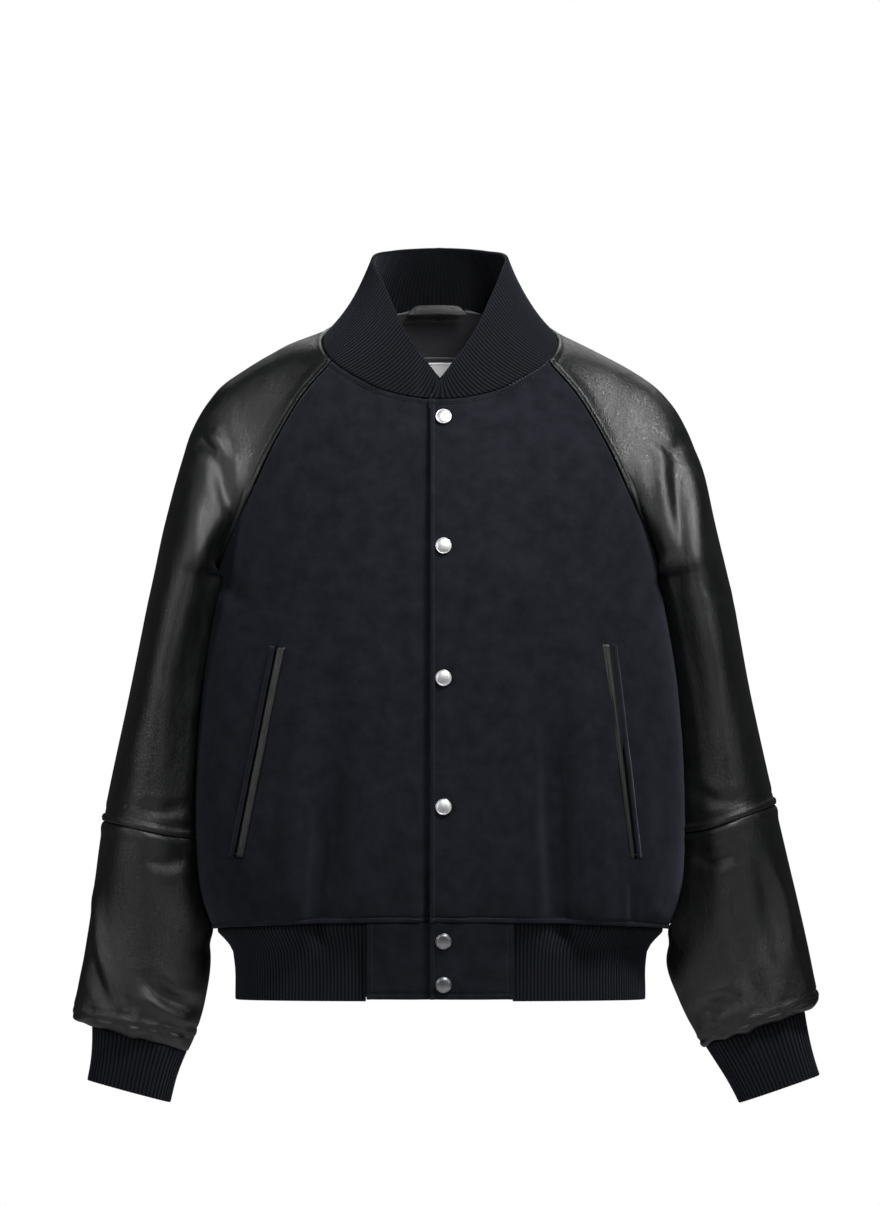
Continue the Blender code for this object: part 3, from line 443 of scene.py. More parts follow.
# ---- sleeves ------------------------------------------------------------------------------------
def shoulder_grid(side, face, share, across):
    """The half sleeve above the armpit: each row leaves the raglan seam in the body's own
    tangent plane, more and more straight forwards (or back) towards the armpit, and crosses the
    over-arm line level.  Its first row is moved onto the neckline itself."""
    stations = RAGLAN_FRONT if face < 0 else RAGLAN_BACK
    z = stations[0][0] + (ARMPIT - stations[0][0]) * share
    theta = body_angle(smooth(stations, z), z)
    theta = theta if face < 0 else np.pi - theta
    seam = body_point(theta, z)
    over_z = smooth(OVER_ARM_HEIGHT, share)
    over = np.stack([smooth(side["over"], over_z), np.full_like(share, BODY_Y), over_z], -1)
    chord = over - seam
    length = np.linalg.norm(chord, axis=-1, keepdims=True)
    normal = body_normal(theta, seam[:, 2])
    along = unit(chord - normal * np.sum(chord * normal, -1, keepdims=True))
    tube = ease(share, 0.30, 1.0)[:, None]
    depth = (4.0 / 3.0) * SLEEVE_HALF_DEPTH[0][1]
    level = np.array([0.0, float(face), 0.0])
    forward = face * (seam - over)[:, 1:2]
    leave = along * length * 0.38 * (1 - tube) + level * (depth - forward) * tube
    arrive = level * (length * 0.45 * (1 - tube) + depth * tube)
    grid = bezier(seam, seam + leave, over + arrive, over, across)
    neck_theta = theta[0] + (np.pi / 2 - theta[0]) * across
    neckline = body_point(neck_theta, neck_height(neck_theta))
    return grid + (neckline - grid[0])[None] * ((1 - share) ** 3)[:, None, None]


def half_tube(face, inner, outer, half_depth, across):
    """Half of a tube's rows: a cubic from the inner to the outer line that leaves both straight
    forwards or back, so that the two halves meet smoothly."""
    reach = np.zeros_like(inner)
    reach[:, 1] = face * np.asarray(half_depth) * 4.0 / 3.0
    return bezier(inner, inner + reach, outer + reach, outer, across)


def arm_grid(side, face, share, across):
    """A stretch of the sleeve's tube, at the given shares of the way from armpit to cuff."""
    outer_z = ARM_RING + (side["end"][0] - ARM_RING) * share
    inner_z = ARMPIT + (side["end"][1] - ARMPIT) * share
    y = smooth(SLEEVE_CENTRE_Y, share)
    inner = np.stack([smooth(side["under"], inner_z), y, inner_z], -1)
    outer = np.stack([smooth(side["over"], outer_z), y, outer_z], -1)
    return half_tube(face, inner, outer, smooth(SLEEVE_HALF_DEPTH, share), across)


def cuff_edge(edge, y):
    """Inner and outer end points of a cuff's edge, as rows of one point."""
    (outer_x, outer_z), (inner_x, inner_z) = edge
    return np.array([[inner_x, y, inner_z]]), np.array([[outer_x, y, outer_z]])


def upper_sleeve(side, face):
    """From the neckline over the shoulder to the elbow seam."""
    across = spread(SLEEVE_COLUMNS)
    shoulder = shoulder_grid(side, face, np.linspace(0.0, 1.0, SHOULDER_ROWS) ** 1.15, across)
    share = side["elbow"] * (1 - (1 - np.linspace(0, 1, ARM_ROWS)) ** 1.25)
    arm = arm_grid(side, face, share, across)
    return np.concatenate([shoulder, arm[1:]])


def lower_sleeve(side, face):
    """From the elbow seam to the cuff: the last rows turn in over the cuff's top on a quarter
    of an ellipse."""
    across = spread(SLEEVE_COLUMNS)
    share = side["elbow"] + (1 - side["elbow"]) * np.linspace(0, 1, FOREARM_ROWS) ** 1.12
    arm = arm_grid(side, face, share, across)
    inner, outer = cuff_edge(side["cuff_top"], SLEEVE_CENTRE_Y[-1][1])
    end = half_tube(face, inner, outer, CUFF_HALF_DEPTH[0], across)[0]
    step = arm[-1] - arm[-6]
    t = np.linspace(0.0, 1.0, TURN_ROWS + 1)[1:, None, None]
    turn = arm[-1] * (1 - t) ** 2 + 2 * (arm[-1] + 0.45 * step) * t * (1 - t) + end * t ** 2
    return np.concatenate([arm, turn])


def cuff_grid(side):
    """The cuff as a closed tube of rows from its top to its lower edge, a little waisted."""
    across = np.linspace(0.0, 1.0, CUFF_COLUMNS)
    y = SLEEVE_CENTRE_Y[-1][1]
    top_in, top_out = cuff_edge(side["cuff_top"], y)
    end_in, end_out = cuff_edge(side["cuff_end"], y)
    share = spread(CUFF_ROWS, 0.5)[:, None]
    inner, outer = top_in + (end_in - top_in) * share, top_out + (end_out - top_out) * share
    slack = unit(outer - inner) * (0.0012 + 0.0015 * np.sin(np.pi * share))
    inner, outer = inner + slack, outer - slack
    depth = CUFF_HALF_DEPTH[0] - 0.001 + (CUFF_HALF_DEPTH[1] - CUFF_HALF_DEPTH[0]) * share[:, 0]
    front, back = (half_tube(face, inner, outer, depth, across) for face in (-1, 1))
    return np.concatenate([front[:, :-1], back[:, :0:-1]], axis=1)


# ---- collar and hem -----------------------------------------------------------------------------
def collar_half(side, theta, rows):
    """The collar over one half of the neckline: each column is a curve from the neckline to the
    free edge that starts out along the shoulder and turns up, and is straighter at the back."""
    foot = body_point(theta, neck_height(theta) + LAID_ON)
    edge = smooth(COLLAR_EDGE, np.degrees(theta))
    straight = ease(theta, math.radians(100), math.radians(160))[:, None]
    lean, rise = 0.60 - 0.28 * straight, 0.36 + 0.26 * straight
    turn = foot + (edge - foot) * np.concatenate([lean, lean, rise], axis=1)
    t = spread(rows, 0.6)[:, None, None]
    grid = foot * (1 - t) ** 2 + 2 * turn * t * (1 - t) + edge * t ** 2
    grid[..., 0] *= side["sign"]
    return grid


def even_angles(start, columns, line):
    """Angles from a start to centre back whose points on a line are evenly spaced along it."""
    fine = np.linspace(start, np.pi, 4000)
    steps = np.linalg.norm(np.diff(line(fine), axis=0), axis=-1)
    place = np.concatenate([[0.0], np.cumsum(steps)])
    return np.interp(np.linspace(0.0, place[-1], columns), place, fine)


def collar_grid():
    """The whole collar, from the left end, which lies on top, round the back to the right end.
    Its columns are spaced evenly along the neckline."""
    starts = (CLOSING_EDGE, -UNDERLAP_END + 0.004)
    halves = []
    for side, start in zip(SIDES, starts):
        theta = even_angles(float(body_angle(start, NECK_FRONT)), COLLAR_COLUMNS,
                            lambda angle: body_point(angle, neck_height(angle)))
        halves.append(collar_half(side, theta, COLLAR_ROWS))
    return np.concatenate([halves[0], underlap(halves[1])[:, -2::-1]], axis=1)


def hem_rib_grid():
    """The hem rib: an open band from one tab round the back to the other, its columns spaced
    evenly along its lower edge.  Its first rows, above the seam, are tucked in under the wool."""
    share = np.concatenate([[-0.085, -0.055, -0.025], spread(HEM_ROWS, 0.6)])[:, None]
    halves = []
    for side in SIDES:
        start_low = float(body_angle(TAB_WIDTH, HEM_END, HEM))
        even = even_angles(start_low, HEM_COLUMNS,
                           lambda angle: body_point(angle, np.full(angle.shape, HEM_END), HEM))
        along = (even - start_low) / (np.pi - start_low)
        start = body_angle(TAB_WIDTH, HEM_FRONT + (HEM_END - HEM_FRONT) * share, HEM)
        theta = start + (np.pi - start) * along[None, :]
        top = hem_seam(theta)
        grid = body_point(theta, top + (HEM_END - top) * share, HEM)
        grid[..., 0] *= side["sign"]
        halves.append(drape(side, grid))
    whole = np.concatenate([halves[0], halves[1][:, -2::-1]], axis=1)
    tuck = 0.0034 * ease(-share, -0.02, 0.03)
    return whole - normals(whole, body_axis(whole)) * tuck[..., None]


def hem_tab_grid(side):
    """The wool end of the hem, from the closing edge to the rib."""
    inner_x = CLOSING_EDGE if side is LEFT else -UNDERLAP_END
    x = inner_x + (TAB_WIDTH - inner_x) * spread(TAB_COLUMNS)[None, :]
    top = hem_seam(body_angle(x, HEM_SIDE))
    share = np.concatenate([[-0.055, -0.025], spread(TAB_ROWS)])[:, None]
    z = top + (HEM_END - top) * share
    grid = body_point(body_angle(x, z, TAB), z, TAB)
    grid[..., 0] *= side["sign"]
    grid = grid if side is LEFT else underlap(grid)
    return grid - normals(grid, body_axis(grid)) * (0.0036 * ease(-share, -0.015, 0.02))[..., None]


# ---- skins --------------------------------------------------------------------------------------
def slope_along(grid, axis):
    """How a grid's points change along rows or columns, by the mean distance between them."""
    steps = np.linalg.norm(np.diff(grid, axis=axis), axis=-1).mean(axis=1 - axis)
    place = np.concatenate([[0.0], np.cumsum(np.maximum(steps, 1e-7))])
    return np.gradient(grid, place, axis=axis, edge_order=2)


def normals(grid, inside, wrap=False):
    """Unit normals of a grid from its two slopes, pointing away from inside."""
    across = (np.roll(grid, -1, 1) - np.roll(grid, 1, 1)) if wrap else slope_along(grid, 1)
    normal = unit(np.cross(slope_along(grid, 0), across))
    return normal * np.sign(np.sum(normal * (grid - inside)))


def body_axis(grid):
    """Points on the body's upright middle line, level with the grid's."""
    axis = grid.copy()
    axis[..., 0], axis[..., 1] = 0.0, BODY_Y
    return axis


def leaning(grid, face):
    """The front half of a sleeve bulges inwards beside the body, where it rests on it."""
    left, z = run(grid, 1), grid[..., 2]
    reach = ease(-z, 0.208, 0.246) * (1 - ease(-z, 0.572, 0.602)) * (face < 0)
    middle = 0.042 - 0.014 * ease(-z, 0.42, 0.53)
    moved = grid.copy()
    moved[..., 0] -= LEAN * reach * bell(left, middle, 0.019) * ease(left, 0.0, 0.014)
    return moved


def sleeve_axis(grid):
    """The middle between a half sleeve's two long edges, for each row."""
    return (grid[:, :1] + grid[:, -1:]) / 2.0


def run(grid, axis):
    """Distance in metres from a grid's first row (axis 0) or column (axis 1) to each point."""
    steps = np.linalg.norm(np.diff(grid, axis=axis), axis=-1)
    return np.concatenate([np.zeros_like(np.take(steps, [0], axis)), np.cumsum(steps, axis)], axis)


def edges(grid):
    """Distances from each point to the grid's first and last row and first and last column."""
    down, across = run(grid, 0), run(grid, 1)
    return down, down[-1:] - down, across, across[:, -1:] - across


def rounded(distance, radius):
    """How far a wall's edge drops away near it: radius - sqrt(radius^2 - (radius - d)^2)."""
    short = np.clip(radius - distance, 0.0, radius)
    return radius - np.sqrt(np.maximum(radius ** 2 - short ** 2, 0.0))


def stitched(distance, band=BAND, height=0.0005):
    """A topstitched band along an edge: the cloth stands proud up to the stitches and is drawn
    down into a narrow groove under them."""
    puff = np.sin(np.pi * np.clip(distance / band, 0.0, 1.0)) ** 0.5
    return height * puff - 0.0010 * bell(distance, band, 0.0010)


def seam_sink(distance, depth=0.0010, half_width=0.0022):
    """How far cloth is drawn in at a sewn seam: a bell on it."""
    return depth * bell(distance, 0.0, half_width)


def puckers(along, distance, depth, size, reach, seed):
    """Small gathers beside a seam: noise along it, fading with the distance from it."""
    ripple = cloud(along, distance * 0.35, size, seed)
    return depth * ripple * np.exp(-(distance / reach) ** 2) * ease(distance, 0.0, 0.004)


def ribs(along, pitch, depth):
    """Knitted ribs: the height of rounded ridges with narrower valleys between them."""
    wave = 0.5 + 0.5 * np.cos(2 * np.pi * along / pitch)
    return depth * (wave ** 0.7 - 0.6)


def shifted(grid, inside, height, wrap=False):
    """The grid pushed out along its normals by a height."""
    return grid + normals(grid, inside, wrap) * height[..., None]


def grid_faces(index):
    """Quads of a grid of point numbers."""
    a, b, c, d = index[:-1, :-1], index[1:, :-1], index[1:, 1:], index[:-1, 1:]
    return np.stack([a.ravel(), b.ravel(), c.ravel(), d.ravel()], -1)


def signed_volume(points, faces):
    """Six times the volume that quads enclose; below zero where they face inwards."""
    a, b, c, d = (points[faces[:, k]] for k in range(4))
    return np.sum(np.cross(a, b) * c) + np.sum(np.cross(a, c) * d)


def make_object(name, points, faces, finish, uv=None, raised=None):
    """A smooth-shaded object on the body, with one material, an optional UV map in metres and
    an optional "raised" value for every point: 1 on top of a rib and 0 in the valley, from which
    the rib material paints shade into the valleys."""
    if faces.shape[1] == 4 and signed_volume(points, faces) < 0:
        faces = faces[:, ::-1]
    mesh = bpy.data.meshes.new(name)
    sides = faces.shape[1]
    mesh.vertices.add(len(points))
    mesh.vertices.foreach_set("co", np.ascontiguousarray(points, np.float32).ravel())
    mesh.loops.add(faces.size)
    mesh.loops.foreach_set("vertex_index", np.ascontiguousarray(faces, np.int32).ravel())
    mesh.polygons.add(len(faces))
    mesh.polygons.foreach_set("loop_start", np.arange(len(faces), dtype=np.int32) * sides)
    mesh.update(calc_edges=True)
    mesh.validate()
    if uv is not None:
        layer = mesh.uv_layers.new(name="cloth")
        layer.data.foreach_set("uv", np.ascontiguousarray(uv[faces.ravel()], np.float32).ravel())
    if raised is not None:
        layer = mesh.attributes.new("raised", "FLOAT", "POINT")
        layer.data.foreach_set("value", np.ascontiguousarray(raised, np.float32).ravel())
    mesh.shade_smooth()
    mesh.materials.append(MATERIALS[finish])
    made = bpy.data.objects.new(name, mesh)
    bpy.context.scene.collection.objects.link(made)
    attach(made, "root")
    return made


def tucked(grid, wrap, free):
    """The grid with its sewn edges run on a little, under the piece they are sewn to."""
    longer = grid.copy()
    if "top" not in free:
        longer[0] += unit(grid[0] - grid[1]) * TUCK
    if "end" not in free:
        longer[-1] += unit(grid[-1] - grid[-2]) * TUCK
    if not wrap:
        longer[:, 0] += unit(longer[:, 0] - longer[:, 1]) * TUCK
        longer[:, -1] += unit(longer[:, -1] - longer[:, -2]) * TUCK
    return longer


def shell(name, outer, thickness, finish, inside, wrap=False, free="", ribbed=None):
    """A closed shell between the outer grid and the same grid moved in by thickness.  All its
    edges are rounded; the free ones ("top", "end") end in a half round rim instead."""
    outer = tucked(outer, wrap, free)
    down, up, left, right = edges(outer)
    radius = 0.47 * thickness
    near = np.full(outer.shape[:2], 1.0)
    for distance, kept in ((down, "top" in free), (up, "end" in free), (left, wrap), (right, wrap)):
        near = near if kept else np.minimum(near, distance)
    normal = normals(outer, inside, wrap)
    drop = rounded(near, radius)[..., None]
    skin, lining = outer - normal * drop, outer - normal * (thickness - drop)
    turn = np.linspace(0.0, np.pi, RIM_ROWS + 2)[1:-1, None, None]
    layers = [skin]
    for last, row, back_row in (("end", -1, -2), ("top", 0, 1)):
        if last == "top":
            layers.append(lining[::-1])
        if last in free:
            away = unit(skin[row] - skin[back_row])
            half = (skin[row] - lining[row]) / 2.0
            start = half if last == "end" else -half
            length = np.linalg.norm(half, axis=-1, keepdims=True)
            layers.append((skin[row] + lining[row]) / 2.0 + start * np.cos(turn)
                          + away * length * np.sin(turn))
    points = np.concatenate(layers)
    rows, columns = points.shape[:2]
    index = np.arange(rows * columns).reshape(rows, columns)
    loop = np.concatenate([index, index[:1]])
    if wrap:
        loop = np.concatenate([loop, loop[:, :1]], axis=1)
    faces = [grid_faces(loop)]
    if not wrap:
        ring = np.roll(index, RIM_ROWS // 2 if "top" in free else 0, axis=0)
        pairs = np.stack([ring[:rows // 2], ring[:(rows - 1) // 2:-1]], axis=1)
        faces += [grid_faces(pairs[:, ::-1, 0]), grid_faces(pairs[:, :, -1])]
    along = run(outer, 1).mean(axis=0)
    u = np.broadcast_to(along, points.shape[:2])
    v = np.concatenate([run(part, 0) for part in layers])
    uv = np.stack([u, v], -1).reshape(-1, 2)
    raised = None if ribbed is None else np.broadcast_to(ribbed, points.shape[:2])
    return make_object(name, points.reshape(-1, 3), np.concatenate(faces), finish, uv, raised)


def declare(made, outer):
    """State a piece's flat cut: the widest row, the longest column and the skin's own area."""
    a, b, c, d = outer[:-1, :-1], outer[1:, :-1], outer[1:, 1:], outer[:-1, 1:]
    cells = (np.linalg.norm(np.cross(b - a, c - a), axis=-1)
             + np.linalg.norm(np.cross(c - a, d - a), axis=-1)) / 2.0
    width, length = float(run(outer, 1)[:, -1].max()), float(run(outer, 0).max())
    width, length = max(width, LEAST_FLAT_SIDE), max(length, LEAST_FLAT_SIDE)
    area = min(float(cells.sum()), width * length)
    CUTS.append((made.name, round(width, 3), round(length, 3), round(area, 4)))


def at_distance(distance, at, axis):
    """Fractional place along an axis where a distance first reaches a value, for every line."""
    after = np.clip((distance < at).sum(axis=axis, keepdims=True), 1, distance.shape[axis] - 1)
    low = np.take_along_axis(distance, after - 1, axis)
    high = np.take_along_axis(distance, after, axis)
    return after, np.clip((at - low) / (high - low), 0.0, 1.0)


def line_on(grid, normal, edge, at):
    """Points and normals of the line on a grid that lies a distance from one of its edges."""
    down, up, left, right = edges(grid)
    distance, axis, flip = dict(top=(down, 0, 1), end=(up, 0, -1), left=(left, 1, 1),
                                right=(right, 1, -1))[edge]
    grids = [np.flip(part, axis) if flip < 0 else part for part in (grid, normal)]
    distance = np.flip(distance, axis) if flip < 0 else distance
    after, share = at_distance(distance, at, axis)
    found = []
    for part in grids:
        low = np.take_along_axis(part, (after - 1)[..., None], axis)
        high = np.take_along_axis(part, after[..., None], axis)
        found.append(np.squeeze(low + (high - low) * share[..., None], axis))
    return found


def stitch_row(points, normal, pitch=STITCH_PITCH, length=0.0021, width=0.00036, height=0.00030):
    """Stitches along a line: each is a small rounded bead, half sunk, a pitch from the next."""
    steps = np.linalg.norm(np.diff(points, axis=0), axis=-1)
    place = np.concatenate([[0.0], np.cumsum(steps)])
    centre = np.arange(pitch, place[-1] - pitch, pitch)
    at, ahead, out = (np.stack([np.interp(centre + more, place, what[:, k]) for k in range(3)], -1)
                      for more, what in ((0.0, points), (0.0006, points), (0.0, normal)))
    forward, out = unit(ahead - at), unit(out)
    aside = unit(np.cross(forward, out))
    turn = np.linspace(0.0, 2 * np.pi, 7)[:-1]
    rings = np.array([-1.0, -0.5, 0.5, 1.0])
    swell = np.array([0.35, 1.0, 1.0, 0.35])
    dip = 0.00012 * rings ** 2          # the ends pull into the cloth
    bead = (forward[:, None, None] * (rings * length / 2)[None, :, None, None]
            + aside[:, None, None] * (swell[:, None] * np.cos(turn) * width)[None, ..., None]
            + out[:, None, None] * (swell[:, None] * np.sin(turn) * height
                                    - dip[:, None])[None, ..., None])
    beads = at[:, None, None] + bead
    index = np.arange(beads[..., 0].size).reshape(beads.shape[:3])
    wrapped = np.concatenate([index, index[..., :1]], axis=2)
    a, b = wrapped[:, :-1, :-1], wrapped[:, 1:, :-1]
    c, d = wrapped[:, 1:, 1:], wrapped[:, :-1, 1:]
    faces = [np.stack([a.ravel(), b.ravel(), c.ravel(), d.ravel()], -1)]
    for ring, order in ((0, (0, 1, 2, 3)), (-1, (3, 2, 1, 0))):
        end = index[:, ring]
        faces.append(end[:, order])
        faces.append(end[:, np.array([0, 3, 4, 5])[list(order)]])
    return beads.reshape(-1, 3), np.concatenate(faces)


def stitches(name, lines, **size):
    """One object of all the stitches along several lines of points and normals."""
    points, faces, count = [], [], 0
    for line, normal in lines:
        made, sides = stitch_row(line, normal, **size)
        points.append(made)
        faces.append(sides + count)
        count += len(made)
    return make_object(name, np.concatenate(points), np.concatenate(faces), "thread")


# ---- panels -------------------------------------------------------------------------------------
def front_panel(side):
    """A wool front: stitched bands along the neckline, the closing edge and the hem, soft upright
    folds, a gathered hem, a sunk line under the pocket and the seams turned in."""
    grid = front_grid(side, FRONT_ROWS, FRONT_COLUMNS)
    x, z = side["sign"] * grid[..., 0], grid[..., 2]
    down, up, left, right = edges(grid)
    inner = ease(left, 0.006, 0.03) * ease(right, 0.0, 0.03) * ease(down, 0.0, 0.02)
    inner *= ease(up, 0.0, 0.02)
    height = stitched(down, NECK_BAND, 0.0014) + stitched(up, BAND, 0.0011)
    height += stitched(left, FRONT_BAND, 0.0017) - 0.0010 * bell(left, 0.0085, 0.0022)
    height -= seam_sink(right)
    if side is RIGHT:
        height -= 0.0030 * bell(grid[..., 0], CLOSING_EDGE - 0.003, 0.0045)
    height += inner * 0.0016 * cloud(x, z * 0.28, size=0.055, seed=3 if side is LEFT else 4)
    height += inner * 0.0007 * cloud(x, z * 0.5, size=0.023, seed=11)
    height += puckers(x, up, depth=0.0016, size=0.013, reach=0.045, seed=21)
    height += puckers(z, right, depth=0.0008, size=0.02, reach=0.02, seed=5)
    height -= creases(x, z, side["folds"]) * ease(up, 0.0, 0.008) * ease(right, 0.0, 0.012)
    return shifted(grid, body_axis(grid), height)


def hem_tab(side):
    """A wool hem end: stitched along the closing edge, at the rib and along its lower edge."""
    grid = hem_tab_grid(side)
    _, up, left, right = edges(grid)
    height = stitched(left, FRONT_STITCH, 0.0008) + 0.5 * stitched(right, TAB_BAND, 0.0007)
    height += stitched(up, TAB_BAND, 0.0004)
    height += 0.0006 * cloud(grid[..., 0], grid[..., 2], size=0.022, seed=31)
    return shifted(grid, body_axis(grid), height)


def back_folds(x, z):
    """Long upright folds of the back, which its lining follows."""
    height = 0.0020 * cloud(x, z * 0.25, size=0.060, seed=41)
    for across, depth in BACK_FOLDS:
        middle = across + 0.02 * z
        fold = bell(x, middle, 0.012) - 0.5 * bell(x, middle + 0.026, 0.014)
        height -= depth * fold * ease(-z, 0.33, 0.50) * (1 - ease(-z, 0.50, 0.565))
    return height


def back_panel():
    """The wool back, with the same bands and gathers as the fronts and long soft folds."""
    grid = back_grid(spread(BACK_ROWS), 2 * spread(BACK_COLUMNS, 0.6) - 1)
    x, z = grid[..., 0], grid[..., 2]
    down, up, left, right = edges(grid)
    side_seam = np.minimum(left, right)
    height = stitched(down, NECK_BAND, 0.0007) + stitched(up, BAND, 0.0006)
    height -= seam_sink(side_seam)
    inner = ease(side_seam, 0.0, 0.03) * ease(down, 0.0, 0.02) * ease(up, 0.0, 0.02)
    height += inner * (back_folds(x, z) + 0.0004 * cloud(x, z * 0.5, size=0.024, seed=42))
    height += puckers(x, up, depth=0.0018, size=0.013, reach=0.050, seed=22)
    height -= creases(np.abs(x), z, BACK_BODY_CREASES)
    return shifted(grid, body_axis(grid), height)


def upper_panel(side, face):
    """Half an upper sleeve in leather: topstitched along the raglan, the neckline and the elbow
    seam, with its creases and a soft unevenness all over."""
    grid = leaning(upper_sleeve(side, face), face)
    x, z = grid[..., 0], grid[..., 2]
    down, up, left, right = edges(grid)
    raglan = ease(z[:, :1], ARMPIT - 0.004, ARMPIT + 0.006)
    height = stitched(down, NECK_BAND, 0.0012) + stitched(up, ELBOW_BAND, 0.0014)
    height += raglan * (stitched(left, RAGLAN_BAND, 0.0015) + 0.0006 * bell(left, 0.0008, 0.0008))
    height -= (1 - raglan) * seam_sink(left, half_width=0.0020)
    height -= seam_sink(right, 0.0007, 0.0016) * ease(down, 0.0, 0.02)
    height -= 0.0010 * bell(up, ELBOW_BAND + 0.004, 0.003)
    inner = ease(left, 0.006, 0.02) * ease(right, 0.0, 0.02) * ease(down, 0.0, 0.02)
    inner *= ease(up, 0.002, 0.02)
    height += inner * (0.0009 * cloud(x, z * 0.4, size=0.022, seed=51)
                       + 0.0016 * cloud(x, z * 0.3, size=0.05, seed=52))
    height += puckers(x, up, depth=0.0014, size=0.016, reach=0.020, seed=53)
    height += raglan * puckers(z, left, depth=0.0009, size=0.013, reach=0.014, seed=54)
    calm = ease(left, 0.001, 0.014) * ease(right, 0.0, 0.020) * ease(up, 0.002, 0.014)
    height -= calm * creases(x, z, side["creases"] if face < 0 else BACK_CREASES)
    return shifted(grid, sleeve_axis(grid), height)


def lower_panel(side, face):
    """Half a lower sleeve: puffed at the elbow seam, gathered over the cuff above a double line
    of stitches, and turned in over the rib."""
    grid = leaning(lower_sleeve(side, face), face)
    x, z = grid[..., 0], grid[..., 2]
    down, _, left, right = edges(grid)
    hem = down[FOREARM_ROWS - 1:FOREARM_ROWS]
    cuff = np.abs(hem - down)
    band = np.sin(np.pi * np.clip(cuff / CUFF_BAND, 0.0, 1.0)) ** 0.5 * (down <= hem)
    height = 0.0012 * bell(down, 0.006, 0.005) - seam_sink(down, 0.0003, 0.0016)
    height += 0.0009 * band - 0.0010 * bell(cuff, CUFF_BAND, 0.0011) * (down < hem)
    height -= seam_sink(right, 0.0007, 0.0016) + seam_sink(left, 0.0007)
    inner = ease(left, 0.0, 0.02) * ease(right, 0.0, 0.02) * ease(down, 0.002, 0.02)
    height += inner * (0.0010 * cloud(x, z * 0.45, size=0.021, seed=61)
                       + 0.0018 * cloud(x, z * 0.3, size=0.05, seed=62))
    height += puckers(x, down, depth=0.0014, size=0.015, reach=0.020, seed=63)
    free = ease(left, 0.0, 0.008) * ease(right, 0.0, 0.008)
    slanted = x + 0.2 * z
    gathers = puckers(slanted, cuff, depth=0.0030, size=0.011, reach=0.026, seed=64)
    height += gathers * (1 - 0.75 * band) * free
    notch = bell(cloud(slanted, 0.0, size=0.017, seed=65), 0.75, 0.18)
    height -= 0.0016 * notch * bell(cuff, 0.0, 0.008) * free
    calm = ease(left, 0.0, 0.014) * ease(right, 0.0, 0.016) * ease(down, 0.002, 0.014)
    height -= calm * creases(x, z, side["creases"] if face < 0 else BACK_CREASES)
    return shifted(grid, sleeve_axis(grid), height)


def rib_skin(grid, inside, pitch, depth, wrap=False):
    """A knitted piece: ribs that follow the grid's columns, and a little unevenness.  It also
    gives each point's share of a rib's height, which the rib material turns into painted shade.
    """
    along = run(grid, 1)[grid.shape[0] // 2]
    if wrap:
        around = along[-1] * grid.shape[1] / (grid.shape[1] - 1)
        pitch = around / round(around / pitch)
    z = grid[..., 2]
    round_it = grid[..., 0] + grid[..., 1]
    height = ribs(along, pitch, depth)[None, :] * (0.9 + 0.1 * cloud(round_it, z, 0.02, seed=71))
    height += 0.0006 * cloud(round_it, z, 0.035, seed=72)
    return shifted(grid, inside, height, wrap), 0.5 + 0.5 * np.cos(2 * np.pi * along / pitch)


# ---- pockets, lining and small pieces ---------------------------------------------------------
def pocket_strip(side, lanes, rows=WELT_POINTS, taper=0.0):
    """A strip of the front's own surface beside the pocket line.  Each lane is how far outwards
    of the line a column lies, and how high over the wool."""
    (top_x, top_z), (end_x, end_z) = side["welt"]
    share = np.linspace(0.0, 1.0, rows)[:, None]
    offset, rise = (np.array(part)[None, :] for part in zip(*lanes))
    narrowing = 1.0 - taper * share
    z = top_z + (end_z - top_z) * share
    x = top_x + (end_x - top_x) * share + offset * narrowing
    grid = body_point(body_angle(x, z), z)
    grid[..., 0] *= side["sign"]
    grid = drape(side, grid)
    wander = 0.0004 * cloud(z, 0.0, size=0.03, seed=81)
    ends = ease(share, 0.0, 0.012) * (1 - ease(share, 0.988, 1.0))
    lifted = 0.0002 + (rise + wander) * (0.25 + 0.75 * ends)
    return grid + normals(grid, body_axis(grid)) * lifted[..., None]


def lining_panel(span, reach, depth, columns, wave):
    """A stretch of what lines the back: the back's own surface moved in by a depth and a slight
    wave, and further in where the back's folds are."""
    start, end = span
    share = start + (end - start) * spread(LINING_ROWS)
    grid = back_grid(share, reach * (2 * spread(columns, 0.5) - 1))
    x, z = grid[..., 0], grid[..., 2]
    fall = ease(np.abs(z - z[:1]), 0.0, 0.03)
    rippled = wave * (cloud(x, z * 0.25, size=0.035, seed=91) - 1.0) * fall
    followed = np.minimum(back_folds(x, z), 0.0) * ease(-z, 0.0, 0.05)
    return shifted(grid, body_axis(grid), rippled + followed - depth)


def loop_grid():
    """The hanger loop: a short leather strap across the inside of the back neck, bowed off it
    and up by half a sine wave, with its ends narrower and cut on a slant."""
    share = np.linspace(0.0, 1.0, LOOP_COLUMNS)[None, :]
    across = np.linspace(-1.0, 1.0, LOOP_ROWS)[:, None]
    x = -0.029 + 0.052 * share + 0.0032 * across * (2 * share - 1) ** 5
    taper = 1.0 - 0.10 * (1 - ease(share, 0.0, 0.10)) - 0.15 * ease(share, 0.90, 1.0)
    z = 0.0222 + 0.0010 * np.sin(np.pi * share) - 0.0047 * taper * across
    y = 0.0655 - 2.0 * x ** 2 - 0.0030 * np.sin(np.pi * share) - 0.0002 * (1 - across ** 2)
    return np.stack(np.broadcast_arrays(x, y, z), -1)


